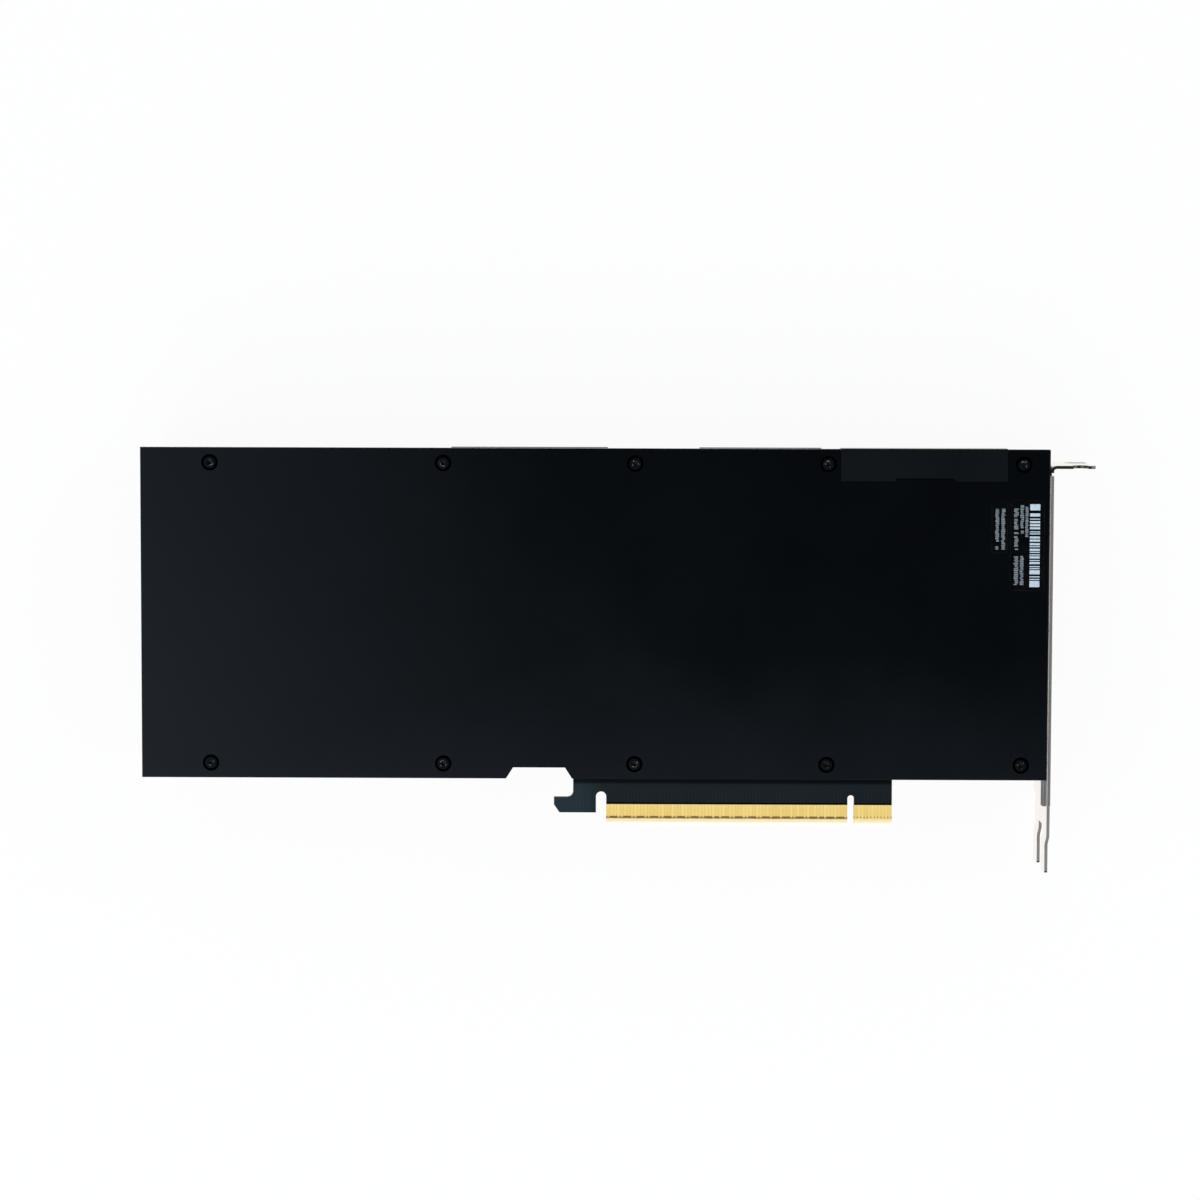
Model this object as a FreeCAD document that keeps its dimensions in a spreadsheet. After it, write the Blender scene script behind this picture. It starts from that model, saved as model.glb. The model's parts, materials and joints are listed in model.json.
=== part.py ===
import FreeCAD, Part
import math
import os
import re
import Sketcher
from FreeCAD import Placement, Rotation, Vector

# Full-height, full-length, two-slot passive accelerator card, in millimetres.
#
# Frame: the card lies on its front cover with the backplate up.
#   origin  centre of the key notch, on the lower edge of the card-edge tongue, mid-thickness of the board
#   +X      towards the mounting bracket
#   +Y      away from the card-edge connector, to the card's top edge
#   +Z      out of the backplate

SIZES = [
    # name, value, what it is
    ("card_height", 111.15, "lower edge of the tongue to the backplate's top edge"),
    ("rear_reach", 208.98, "key notch to the backplate's rear end"),
    ("front_reach", 57.45, "key notch to the backplate's bracket end"),
    ("back_bottom", 13.81, "lower edge of the tongue to the backplate's lower edge"),
    ("board_thickness", 1.57, "circuit board"),
    ("edge_inset", 0.5, "board and frame inside the backplate's outline"),
    # backplate
    ("back_height", 2.6, "board to the backplate's outer face"),
    ("back_plate", 1.5, "backplate over its inner pocket"),
    ("back_rim", 1.5, "rim round the inner pocket"),
    ("back_chamfer", 0.25, "outer edge break"),
    ("boss_radius", 3.4, "boss round each backplate screw"),
    ("screw_inset", 4.42, "screw rows from the backplate's long edges"),
    ("column_one_inset", 20.38, "first screw column from the backplate's rear end"),
    ("column_two", 120.16, "second screw column, rearwards of the key notch"),
    ("column_three", 63.87, "third screw column, rearwards"),
    ("column_four", 7.37, "fourth screw column, rearwards"),
    ("column_five_inset", 7.67, "fifth screw column from the backplate's bracket end"),
    ("sink_radius", 2.45, "counterbore"),
    ("sink_depth", 1.4, "counterbore"),
    ("film_thickness", 0.1, "insulator film"),
    ("film_margin", 1.0, "film edge inside the rim"),
    # notch over the retention hook
    ("notch_rear", 99.6, "notch floor's rear corner, rearwards of the key notch"),
    ("notch_front", 84.3, "notch floor's front corner, rearwards of the key notch"),
    ("notch_depth", 3.31, "notch"),
    ("notch_flare", 2.1, "run of each slanted side"),
    # bridge port and its cover
    ("port_rear", 3.8, "cover's rear end, rearwards of the key notch"),
    ("port_front", 45.0, "cover's front end, towards the bracket"),
    ("port_drop", 9.45, "cover's lower edge below the backplate's top edge"),
    ("port_gap", 0.15, "clearance round the cover"),
    ("port_proud", 0.15, "cover past the backplate's top edge"),
    ("port_lift", 0.06, "cover above the backplate's outer face"),
    ("step_rear", 12.3, "pry step's rear end"),
    ("step_front", 29.0, "pry step's front end"),
    ("step_rise", 0.9, "pry step"),
    ("step_gap", 0.3, "clearance at the pry step"),
    ("cap_wall", 1.0, "cover's web and inner leg"),
    ("cap_leg_gap", 0.9, "board to the cover's inner leg"),
    ("cap_leg", 7.0, "inner leg from the web down"),
    ("port_board_drop", 1.3, "board edge below the card's top edge in the port"),
    ("port_pitch", 1.0, "bridge contacts"),
    ("port_pad", 4.2, "bridge contact length"),
    ("port_pad_start", 3.0, "bridge contacts from the cover's ends"),
    ("port_pad_drop", 0.4, "bridge contacts below the board's edge"),
    # card-edge connector
    ("pad_pitch", 1.0, "edge contacts"),
    ("pad_width", 0.7, "edge contacts"),
    ("pad_skin", 0.05, "edge contacts stand off the board's face"),
    ("pad_top", 6.0, "upper end of the edge contacts"),
    ("pad_low", 1.72, "lower end of the long contacts"),
    ("pad_low_short", 2.55, "lower end of the short contacts"),
    ("first_pad", 1.5, "nearest contact's centre from the key notch"),
    ("pad_margin", 0.65, "last contact's centre to the tongue's side"),
    ("key_width", 1.9, "key notch"),
    ("key_depth", 8.9, "key notch"),
    ("gap_width", 3.03, "latch gap between the tongue and the hook"),
    ("gap_depth", 9.75, "top of the latch gap"),
    ("bevel_length", 1.68, "lead-in bevel along the board"),
    ("bevel_depth", 0.5, "lead-in bevel into each face"),
    ("hook_bottom", 3.5, "retention hook"),
    ("hook_top", 8.1, "retention hook"),
    ("hook_reach", 15.43, "hook's tip beyond the tongue's side"),
    ("hook_slant_run", 1.63, "hook's slanted corner"),
    ("hook_slant_rise", 2.35, "hook's slanted corner"),
    ("hook_fillet", 1.76, "hook's inner corner"),
    # mounting bracket
    ("face_step", 1.45, "bracket's outer face past the backplate's end"),
    ("sheet", 0.9, "bracket steel"),
    ("sheet_bend", 0.4, "inner radius of the side flange's bend"),
    ("flange_reach", 3.0, "side flange from the bracket's outer face"),
    ("flange_gap", 0.1, "side flange off the board"),
    ("flange_low", 6.0, "side flange's lower end"),
    ("flange_high", 103.3, "side flange's upper end"),
    ("flange_corner", 0.8, "side flange's free corners"),
    ("tab_top", 106.3, "screw tab's upper face"),
    ("tab_reach", 12.4, "screw tab from the bracket's outer face"),
    ("tab_bend", 0.8, "inner radius of the tab's bend"),
    ("tab_corner", 2.0, "screw tab's outer corners"),
    ("tab_edge", 0.4, "screw tab's near edge inside the plate's"),
    ("tab_slot", 4.42, "screw notches"),
    ("tab_slot_out", 7.85, "screw notches' centre from the outer face"),
    ("tab_slot_deep", 5.0, "first notch's centre inside the tab's edge"),
    ("tongue_width", 10.19, "tongues"),
    ("tongue_centre", 5.8, "first tongue's centre below the board's middle"),
    ("slot_pitch", 20.32, "expansion slots"),
    ("web_low", 1.15, "plate between the tongues, below the card edge"),
    ("relief_width", 0.9, "relief slots under the tab's bend"),
    ("relief_depth", 6.0, "relief slots"),
    ("tongue_joggle", 0.5, "tongues step inwards"),
    ("joggle_high", 3.35, "joggle's upper end below the card edge"),
    ("joggle_low", 5.73, "joggle's lower end below the card edge"),
    ("tongue_tip", 14.2, "tongues' tips below the card edge"),
    ("tongue_corner", 0.8, "tongues' corners"),
    ("bracket_half", 9.21, "bracket's edge from the nearer tongue's centre"),
    ("vent_across", 4.4, "hexagonal vents across the flats"),
    ("vent_web", 1.0, "metal between two vents"),
    # base frame
    ("clearance_height", 5.0, "board to the frame's deck"),
    ("deck", 1.5, "frame's deck"),
    ("frame_wall", 2.6, "frame's side walls"),
    ("seat_gap", 0.1, "frame's rebate to the cover's wall"),
    ("frame_post", 3.2, "radius of the frame's screw posts"),
    ("window_half", 42.0, "half the window round the processor, along X"),
    ("window_gap", 1.0, "window to the frame's screw posts"),
    ("strip_proud", 0.06, "frame's top strips past the backplate's edge"),
    ("strip_rear_start", 118.0, "rear strip"),
    ("strip_rear_end", 72.0, "rear strip"),
    ("strip_front_start", 45.0, "front strip"),
    ("strip_front_end", 9.3, "front strip"),
    ("pillar", 8.0, "frame's end pillars"),
    ("pillar_low", 17.5, "lower pillars' lower side"),
    ("pillar_front_drop", 17.15, "upper front pillar's lower side below the card's top edge"),
    ("pillar_rear_gap", 4.45, "upper rear pillar to the power connector"),
    ("rear_tap_level", 19.0, "rear tapped holes below the board's middle"),
    ("rear_tap_radius", 1.5, "tapped holes for the card's rear support"),
    ("rear_tap_depth", 7.0, "tapped holes for the card's rear support"),
    ("cover_screw_shift", 1.5, "cover screws off the pillars' middles, away from the side screws"),
    ("tap_spare", 0.3, "tapped holes deeper than their screws"),
    ("bay_gap", 0.6, "frame to the power connector"),
    # front cover
    ("cover_height", 34.79, "board to the cover's outer face"),
    ("cover_wall", 1.0, "cover's side walls"),
    ("cover_plate", 1.2, "cover's front plate"),
    ("cover_top_inset", 1.5, "cover's top wall inside the backplate's edge"),
    ("cover_end_gap", 0.3, "cover to the bracket"),
    ("cover_chamfer", 0.8, "cover's long edges"),
    # heatsink
    ("heatsink_base", 3.0, "heatsink's base plate"),
    ("heatsink_rear_inset", 24.98, "heatsink's rear end from the backplate's"),
    ("heatsink_front_inset", 11.45, "heatsink's bracket end from the backplate's"),
    ("heatsink_side_gap", 0.6, "heatsink to the cover's walls"),
    ("fin_sheet", 0.4, "fins"),
    ("fin_pitch", 2.2, "fins"),
    ("fin_end_gap", 0.3, "fins to the cover's plate"),
    ("fin_lip_gap", 0.05, "each fin's lips to the next fin"),
    ("blind_floor", 0.5, "metal left under the base plate's tapped holes"),
    # processor
    ("chip_x", 70.0, "processor's centre, rearwards of the key notch"),
    ("substrate_side", 55.0, "processor substrate"),
    ("substrate_height", 1.6, "processor substrate"),
    ("stiffener_width", 4.0, "stiffener ring"),
    ("stiffener_height", 0.9, "stiffener ring"),
    ("die_length", 30.0, "processor die along X"),
    ("die_width", 26.0, "processor die along Y"),
    ("die_height", 0.8, "processor die and memory stacks"),
    ("stack_length", 7.6, "memory stacks along X"),
    ("stack_width", 11.0, "memory stacks along Y"),
    ("stack_gap", 0.8, "memory stacks to the die"),
    ("stack_pitch", 12.5, "memory stacks along Y"),
    ("paste", 0.1, "thermal paste gap"),
    ("pedestal_half", 24.0, "half the heatsink's pedestal"),
    ("hold_half", 34.0, "heatsink screws from the processor's centre, along X"),
    ("spacer_radius", 2.9, "heatsink spacers"),
    ("hold_plate", 0.9, "retention plate"),
    ("hold_edge", 4.0, "retention plate past its screws"),
    ("hold_rib", 8.0, "retention plate's window inside its screws"),
    ("hold_gap", 2.85, "retention plate to the backplate's bosses"),
    # power stage
    ("coil_side", 8.0, "power inductors"),
    ("coil_height", 4.4, "power inductors"),
    ("coil_gap", 4.05, "power inductors to the frame's screw posts"),
    ("coil_column_rear", 128.0, "rear inductor column, rearwards"),
    ("coil_column_front", 14.0, "front inductor column, rearwards"),
    ("stage_side", 5.4, "power stages"),
    ("stage_height", 0.9, "power stages"),
    ("stage_gap", 1.6, "power stages beside the inductors"),
    ("bulk_length", 7.3, "bulk capacitors"),
    ("bulk_width", 4.3, "bulk capacitors"),
    ("bulk_height", 2.8, "bulk capacitors"),
    ("bulk_pitch", 6.2, "bulk capacitors along Y"),
    ("bulk_gap", 2.0, "bulk capacitors beside the inductors"),
    # power connector
    ("plug_pitch", 4.2, "power connector's ways"),
    ("plug_cell", 3.6, "power connector's cells"),
    ("plug_edge", 1.0, "outer wall past the cells"),
    ("plug_length", 13.4, "power connector housing"),
    ("plug_floor", 3.2, "power connector's back wall"),
    ("plug_inset", 0.3, "mating face inside the frame's rear end"),
    ("plug_side", 8.0, "power connector from the board's top edge"),
    ("pin_side", 1.1, "power pins"),
    ("pin_mouth", 3.0, "pins inside the mating face"),
    ("pin_hole", 0.85, "radius of the pins' holes in the board"),
    ("pin_set_back", 2.0, "first row of tails behind the housing"),
    ("pin_tail", 0.3, "tails past the board's solder face"),
    ("latch_start", 1.0, "latch ramp from the mating face"),
    ("latch_end", 5.0, "latch ramp from the mating face"),
    ("latch_rise", 1.2, "latch ramp"),
    ("latch_width", 3.6, "latch ramp"),
    # fasteners
    ("screw_hole", 1.4, "radius of the board's and plate's screw holes"),
    ("screw_tap", 1.25, "radius of tapped holes"),
    ("screw_shank", 1.2, "screw shanks"),
    ("screw_head", 1.9, "backplate screws' heads"),
    ("screw_head_height", 1.15, "backplate screws' heads"),
    ("screw_head_edge", 0.4, "backplate screws' rounded rim"),
    ("screw_length", 5.6, "backplate screws below their heads"),
    ("socket_across", 1.7, "drive sockets across the flats"),
    ("socket_depth", 0.6, "drive sockets"),
    ("flat_head", 2.1, "countersunk heads, at 45 degrees"),
    ("flat_head_gap", 0.05, "countersinks round the heads"),
    ("flat_length", 5.5, "countersunk screws overall"),
    ("hold_screw_length", 9.0, "heatsink screws overall"),
    # labels
    ("label_thickness", 0.06, "clear labels"),
    ("label_rear", 45.9, "product label's rear side"),
    ("label_front", 55.9, "product label's front side"),
    ("label_drop", 14.75, "product label below the card's top edge"),
    ("label_length", 26.6, "product label"),
    ("tag_rear", 40.4, "inspection label's rear side"),
    ("tag_front", 45.2, "inspection label's front side"),
    ("tag_drop", 15.35, "inspection label below the card's top edge"),
    ("tag_length", 14.9, "inspection label"),
]

EDGE_PADS = 82  # contacts on each face of the tongue
NEAR_PADS = 11  # of them, those between the bracket and the key notch
COILS = 7  # inductors in each column

# Levels and places that follow from the sizes. Each is a formula in the names above.
PLACES = {
    "solder_face": "board_thickness / 2",
    "parts_face": "-board_thickness / 2",
    "back_outer": "solder_face + back_height",
    "back_inner": "back_outer - back_plate",
    "deck_top": "parts_face - clearance_height",
    "flat_head_height": "flat_head - screw_shank",
    "countersink": "flat_head - screw_hole + flat_head_gap",
    "deck_low": "deck_top - deck",
    "base_low": "deck_low - heatsink_base",
    "cover_outer": "parts_face - cover_height",
    "cover_inner": "cover_outer + cover_plate",
    "outline_bottom": "back_bottom + edge_inset",
    "outline_rear": "-rear_reach + edge_inset",
    "board_front": "front_reach - edge_inset",
    "board_top": "card_height - edge_inset",
    "cover_top": "card_height - cover_top_inset",
    "port_low": "card_height - port_drop",
    "row_high": "card_height - screw_inset",
    "row_low": "back_bottom + screw_inset",
    "column_one": "rear_reach - column_one_inset",
    "column_five": "front_reach - column_five_inset",
    "bracket_face": "front_reach + face_step",
    "notch_slant": "sqrt(notch_flare^2 + notch_depth^2)",
    "tongue_rear": "-(first_pad + %d * pad_pitch + pad_margin)" % (EDGE_PADS - NEAR_PADS - 1),
    "tongue_front": "first_pad + %d * pad_pitch + pad_margin" % (NEAR_PADS - 1),
    "bracket_inner": "bracket_face - sheet",
    "flange_outer": "solder_face + flange_gap + sheet",
    "bend_outer": "sheet_bend + sheet",
    "bracket_far": "-tongue_centre - slot_pitch - bracket_half",
    "plate_top": "tab_top - sheet - tab_bend",
    "tab_near": "bracket_near_edge - tab_edge",
    "bracket_near_edge": "flange_outer - bend_outer",
    "vent_pitch": "vent_across + vent_web",
    "vent_low": "pillar_low + pillar",
    "pillar_front_high": "card_height - pillar_front_drop",
    "pillar_rear_high": "plug_low - pillar_rear_gap - pillar",
    "vent_high": "pillar_front_high",
    "rebate": "cover_wall + seat_gap",
    "heatsink_rear": "rear_reach - heatsink_rear_inset",
    "heatsink_front": "front_reach - heatsink_front_inset",
    "heatsink_low": "back_bottom + notch_depth + edge_inset + cover_wall + heatsink_side_gap",
    "heatsink_high": "cover_top - cover_wall - heatsink_side_gap",
    "sink_floor": "back_outer - sink_depth",
    "row_half": "(row_high - row_low) / 2",
    "chip_y": "row_low + row_half",
    "window_half_y": "row_half - frame_post - window_gap",
    "hold_half_y": "row_half - boss_radius - hold_gap - hold_edge",
    "coil_pitch": "(2 * (row_half - frame_post - coil_gap) - coil_side) / %d" % (COILS - 1),
    "die_top": "parts_face - substrate_height - die_height",
    "plug_side_width": "3 * plug_pitch + plug_cell + 2 * plug_edge",
    "plug_side_height": "plug_pitch + plug_cell + 2 * plug_edge",
    "plug_face": "outline_rear + plug_inset",
    "plug_high": "board_top - plug_side",
    "plug_low": "plug_high - plug_side_width",
    "label_high": "card_height - label_drop",
    "label_low": "label_high - label_length",
    "tag_high": "card_height - tag_drop",
    "tag_low": "tag_high - tag_length",
}

SCREW_COLUMNS = ["-column_one", "-column_two", "-column_three", "-column_four", "column_five"]
SCREW_ROWS = ["row_low", "row_high"]
HOLD_CORNERS = [(i, j) for i in (-1, 1) for j in (-1, 1)]
FRONT_PILLARS = ["pillar_low", "pillar_front_high"]
REAR_PILLARS = ["pillar_low", "pillar_rear_high"]
PAST = 1.0  # cutters run this far past the faces they open

BRIDGE_PADS = 16  # contacts on each face of each of the two bridge rows
BULKS = 9  # capacitors in each column
CHIPS = [(-165, 45, 9), (-165, 62, 7), (-165, 78, 5), (22, 38, 7), (28, 60, 9)]  # support chips' low corner and side
BRACKET_SCREW_PARTS = (0.2, 0.75)  # bracket screws' places between the deck and the cover

# Contacts that carry signals or are reserved stop short of the bevel; power and ground run down to it.
SOLDER_SIDE_SHORT = {13, 14, 16, 17, 19, 21, 22, 25, 26, 29, 30, 32, 33, 35, 36, 39, 40, 43, 44, 47, 48, 50}
SOLDER_SIDE_SHORT |= {n + k for n in range(52, 82, 4) for k in (0, 1)}
PARTS_SIDE_SHORT = {12, 14, 15, 17, 19, 20, 23, 24, 27, 28, 30, 31, 33, 34, 37, 38, 41, 42, 45, 46, 48, 81, 82}
PARTS_SIDE_SHORT |= {n + k for n in range(50, 80, 4) for k in (0, 1)}

doc = FreeCAD.newDocument("accelerator_card")
sheet = doc.addObject("Spreadsheet::Sheet", "Sizes")
for row, (alias, number, meaning) in enumerate(SIZES, start=1):
    sheet.set("A%d" % row, alias)
    sheet.set("B%d" % row, str(number))
    sheet.setAlias("B%d" % row, alias)
    sheet.set("C%d" % row, meaning)
doc.recompute()
ALIASES = {alias for alias, number, meaning in SIZES}
nodes = []


def bind(formula):
    """Write a formula in plain names as an expression on the sheet's cells."""

    def swap(match):
        word = match.group(0)
        if word in PLACES:
            return "(" + bind(PLACES[word]) + ")"
        return "Sizes." + word if word in ALIASES else word

    return re.sub(r"[a-z_]+", swap, str(formula))


def value(formula):
    return float(sheet.evalExpression(bind(formula)))


def fitting(space, one, pitch):
    """How many pieces of one size fit in a space at a pitch."""
    return 1 + int((value(space) - value(one)) / value(pitch))


def tie(item, prop, formula):
    item.setExpression(prop, bind(formula))


# ---------------------------------------------------------------- sketches and features


def new_body(label):
    body = doc.addObject("PartDesign::Body", label)
    body.Label = label
    return body


def new_sketch(body, role, offset):
    """A sketch on one of the body's own origin planes, moved to the given coordinate."""
    sketch = body.newObject("Sketcher::SketchObject", body.Label + "_sketch")
    base = next(item for item in body.Origin.OriginFeatures if item.Role == role)
    sketch.AttachmentSupport = [(base, "")]
    sketch.MapMode = "FlatFace"
    side = "-(%s)" if role == "XZ_Plane" else "%s"
    tie(sketch, "AttachmentOffset.Base.z", side % offset)
    return sketch


def pin(sketch, geometry, point, axis, formula):
    """Hold one coordinate of a sketch point at a formula."""
    kind = "DistanceX" if axis == "x" else "DistanceY"
    index = sketch.addConstraint(Sketcher.Constraint(kind, -1, 1, geometry, point, value(formula)))
    tie(sketch, "Constraints[%d]" % index, formula)


def outline(sketch, corners):
    """Closed outline. A corner is (x, y), or (x, y, cx, cy, turn) where an arc about (cx, cy)
    leads to it, anticlockwise for turn 1 and clockwise for turn -1."""
    first = sketch.GeometryCount
    count = len(corners)
    ends = []
    for index in range(count):
        here = Vector(value(corners[index][0]), value(corners[index][1]), 0)
        goal = corners[(index + 1) % count]
        there = Vector(value(goal[0]), value(goal[1]), 0)
        if len(goal) == 2:
            sketch.addGeometry(Part.LineSegment(here, there), False)
            ends.append((1, 2))
            continue
        centre = Vector(value(goal[2]), value(goal[3]), 0)
        start, stop = (here, there) if goal[4] > 0 else (there, here)
        angles = [math.atan2(point.y - centre.y, point.x - centre.x) for point in (start, stop)]
        circle = Part.Circle(centre, Vector(0, 0, 1), (start - centre).Length)
        sketch.addGeometry(Part.ArcOfCircle(circle, angles[0], angles[1]), False)
        ends.append((1, 2) if goal[4] > 0 else (2, 1))
    for index in range(count):
        follow = (index + 1) % count
        joint = (first + index, ends[index][1], first + follow, ends[follow][0])
        sketch.addConstraint(Sketcher.Constraint("Coincident", *joint))
    for index, corner in enumerate(corners):
        pin(sketch, first + index, ends[index][0], "x", corner[0])
        pin(sketch, first + index, ends[index][0], "y", corner[1])
        if len(corner) > 2:
            level = abs(value(corner[1]) - value(corners[index - 1][1])) < 1e-6
            pin(sketch, first + (index - 1) % count, 3, "y" if level else "x", corner[3 if level else 2])


def rectangle(sketch, x_low, x_high, y_low, y_high):
    outline(sketch, [(x_low, y_low), (x_high, y_low), (x_high, y_high), (x_low, y_high)])


def circle(sketch, x, y, radius):
    geometry = sketch.addGeometry(Part.Circle(Vector(value(x), value(y), 0), Vector(0, 0, 1), value(radius)))
    pin(sketch, geometry, 3, "x", x)
    pin(sketch, geometry, 3, "y", y)
    index = sketch.addConstraint(Sketcher.Constraint("Radius", geometry, value(radius)))
    tie(sketch, "Constraints[%d]" % index, radius)


def round_slot(sketch, x, low, high, radius):
    """Slot along Y, open at its lower end, with a full round at its upper end."""
    left, right = "(%s) - (%s)" % (x, radius), "(%s) + (%s)" % (x, radius)
    centre = "(%s) - (%s)" % (high, radius)
    outline(sketch, [(right, low), (right, centre), (left, centre, x, centre, 1), (left, low)])


def hexagon(sketch, x, y, across):
    """Regular hexagon with two flats facing along the sketch's y axis."""
    corners = []
    for step in range(6):
        angle = math.radians(60 * step)
        reach = "(%s) / sqrt(3)" % across
        corners.append(("(%s) + %.9f * %s" % (x, math.cos(angle), reach),
                        "(%s) + %.9f * %s" % (y, math.sin(angle), reach)))
    outline(sketch, corners)


def finish(body, feature):
    body.Tip = feature
    doc.recompute()
    if "Invalid" in feature.State or feature.Shape.isNull():
        raise RuntimeError("%s of %s failed" % (feature.Label, body.Label))
    return feature


def grow(body, sketch, length):
    """Pad the sketch towards the plus side of its axis."""
    pad = body.newObject("PartDesign::Pad", body.Label + "_pad")
    pad.Profile = sketch
    pad.Reversed = "XZ_Plane" in sketch.AttachmentSupport[0][0].Role
    tie(pad, "Length", length)
    return finish(body, pad)


def cut(body, sketch, length):
    """Pocket the sketch towards the plus side of its axis."""
    before = body.Tip.Shape.Volume
    pocket = body.newObject("PartDesign::Pocket", body.Label + "_pocket")
    pocket.Profile = sketch
    pocket.Reversed = "XZ_Plane" not in sketch.AttachmentSupport[0][0].Role
    tie(pocket, "Length", length)
    finish(body, pocket)
    if pocket.Shape.Volume >= before:
        raise RuntimeError(pocket.Label + " removes nothing")
    return pocket


def edges_at(shape, test):
    """Names of the straight or round edges whose middle point passes a test."""
    names = []
    for number, edge in enumerate(shape.Edges, start=1):
        middle = edge.valueAt((edge.FirstParameter + edge.LastParameter) / 2)
        if test(edge, middle):
            names.append("Edge%d" % number)
    if not names:
        raise RuntimeError("no edge found")
    return names


def soften(body, kind, size, test):
    """Fillet or chamfer the body's edges that pass a test."""
    base = body.Tip
    feature = body.newObject("PartDesign::" + kind, body.Label + "_" + kind.lower())
    feature.Base = (base, edges_at(base.Shape, test))
    tie(feature, "Radius" if kind == "Fillet" else "Size", size)
    return finish(body, feature)


def near(number, formula, within=1e-4):
    return abs(number - value(formula)) < within


def upright(edge):
    """Whether an edge runs along Z."""
    return edge.Curve.TypeId == "Part::GeomLine" and abs(edge.tangentAt(edge.FirstParameter).z) > 0.999


def block(name, x, y, z, length, width, height):
    """A box with its low corner and its three sides bound."""
    box = doc.addObject("Part::Box", name)
    for prop, formula in zip(("Length", "Width", "Height"), (length, width, height)):
        tie(box, prop, formula)
    for axis, formula in zip("xyz", (x, y, z)):
        tie(box, "Placement.Base." + axis, formula)
    return box


def group(label, members):
    """Like pieces kept as one sub-part of separate solids."""
    compound = doc.addObject("Part::Compound", label)
    compound.Label = label
    compound.Links = members
    doc.recompute()
    return keep(compound)


def keep(item):
    nodes.append(item)
    return item


def placed_copies(label, source, placements):
    """The same piece at several places, as one sub-part of separate solids."""
    feature = doc.addObject("Part::Feature", label)
    feature.Label = label
    solids = []
    for placement in placements:
        solid = source.Shape.copy()
        solid.Placement = placement
        solids.append(solid)
    feature.Shape = Part.makeCompound(solids)
    return keep(feature)


# ---------------------------------------------------------------- shared outlines


def notched_edge(inset):
    """The lower edge's trapezoid notch, moved inwards, from its rear corner to its front one."""
    depth = "(back_bottom + notch_depth + (%s))" % inset
    foot = "(back_bottom + (%s))" % inset
    run = "notch_flare * (1 - (%s) / notch_depth) + (%s) * notch_slant / notch_depth" % (inset, inset)
    turn = "(%s) * (notch_slant - notch_flare) / notch_depth" % inset
    return [
        ("-notch_rear - (%s)" % run, foot),
        ("-notch_rear - %s" % turn, depth),
        ("-notch_front + %s" % turn, depth),
        ("-notch_front + (%s)" % run, foot),
    ]


def notched_outline(rear, front, top, inset):
    """A rectangle over the card's whole length with the notch in its lower edge."""
    foot = "back_bottom + (%s)" % inset
    return [(rear, foot)] + notched_edge(inset) + [(front, foot), (front, top), (rear, top)]


def hold_points():
    return [("-chip_x + (%d) * hold_half" % i, "chip_y + (%d) * hold_half_y" % j) for i, j in HOLD_CORNERS]


def screw_points():
    return [(column, row) for column in SCREW_COLUMNS for row in SCREW_ROWS]


def plug_cells():
    """Middle of each of the power connector's eight ways, as (y, z)."""
    first_y = "plug_low + plug_edge + plug_cell / 2"
    first_z = "parts_face - plug_edge - plug_cell / 2"
    return [("%s + %d * plug_pitch" % (first_y, i), "%s - %d * plug_pitch" % (first_z, j))
            for i in range(4) for j in range(2)]


# ---------------------------------------------------------------- circuit board


def board_corners():
    notch = notched_edge("edge_inset")
    neck = notch[-1][0]
    hook_tip = "tongue_rear - hook_reach"
    return [
        ("outline_rear", "outline_bottom"),
        *notch,
        (neck, "hook_top"),
        (hook_tip, "hook_top"),
        (hook_tip, "hook_bottom + hook_slant_rise"),
        (hook_tip + " + hook_slant_run", "hook_bottom"),
        ("tongue_rear", "hook_bottom"),
        ("tongue_rear", "0"),
        ("tongue_front", "0"),
        ("tongue_front", "outline_bottom"),
        ("board_front", "outline_bottom"),
        ("board_front", "board_top"),
        ("port_front + 2 * port_gap", "board_top"),
        ("port_front + 2 * port_gap", "card_height - port_board_drop"),
        ("-port_rear - 2 * port_gap", "card_height - port_board_drop"),
        ("-port_rear - 2 * port_gap", "board_top"),
        ("outline_rear", "board_top"),
    ]


def circuit_board():
    """The board: tongue, key notch, latch gap, retention hook, bevel and all its holes."""
    body = new_body("circuit_board")
    shape = new_sketch(body, "XY_Plane", "parts_face")
    outline(shape, board_corners())
    grow(body, shape, "board_thickness")

    slots = new_sketch(body, "XY_Plane", "parts_face")
    round_slot(slots, "0", str(-PAST), "key_depth", "key_width / 2")
    round_slot(slots, "tongue_rear - gap_width / 2", str(-PAST), "gap_depth", "gap_width / 2")
    cut(body, slots, "board_thickness")

    bevel = new_sketch(body, "YZ_Plane", "tongue_rear - %s" % PAST)
    for side in ("", "-"):
        face, depth = side + "(solder_face)", side + "(solder_face - bevel_depth)"
        beyond = side + "(solder_face + %s)" % PAST
        outline(bevel, [("bevel_length", face), ("0", depth), (-PAST, depth), (-PAST, beyond),
                        ("bevel_length", beyond)])
    cut(body, bevel, "tongue_front - tongue_rear + %s" % (2 * PAST))

    holes = new_sketch(body, "XY_Plane", "parts_face")
    for x, y in screw_points():
        circle(holes, x, y, "screw_hole")
    for x, y in hold_points():
        circle(holes, x, y, "screw_hole")
    for way, (y, z) in enumerate(plug_cells()):
        circle(holes, pin_tail_x(way % 2), y, "pin_hole")
    cut(body, holes, "board_thickness")

    neck = notched_edge("edge_inset")[-1][0]
    soften(body, "Fillet", "hook_fillet",
           lambda edge, at: upright(edge) and near(at.x, neck) and near(at.y, "hook_top"))
    return keep(body)


def pad_x(number):
    """Centre of a contact, counted from 1 at the bracket end across the key notch."""
    if number <= NEAR_PADS:
        return value("first_pad") + (NEAR_PADS - number) * value("pad_pitch")
    return -value("first_pad") - (number - NEAR_PADS - 1) * value("pad_pitch")


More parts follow.
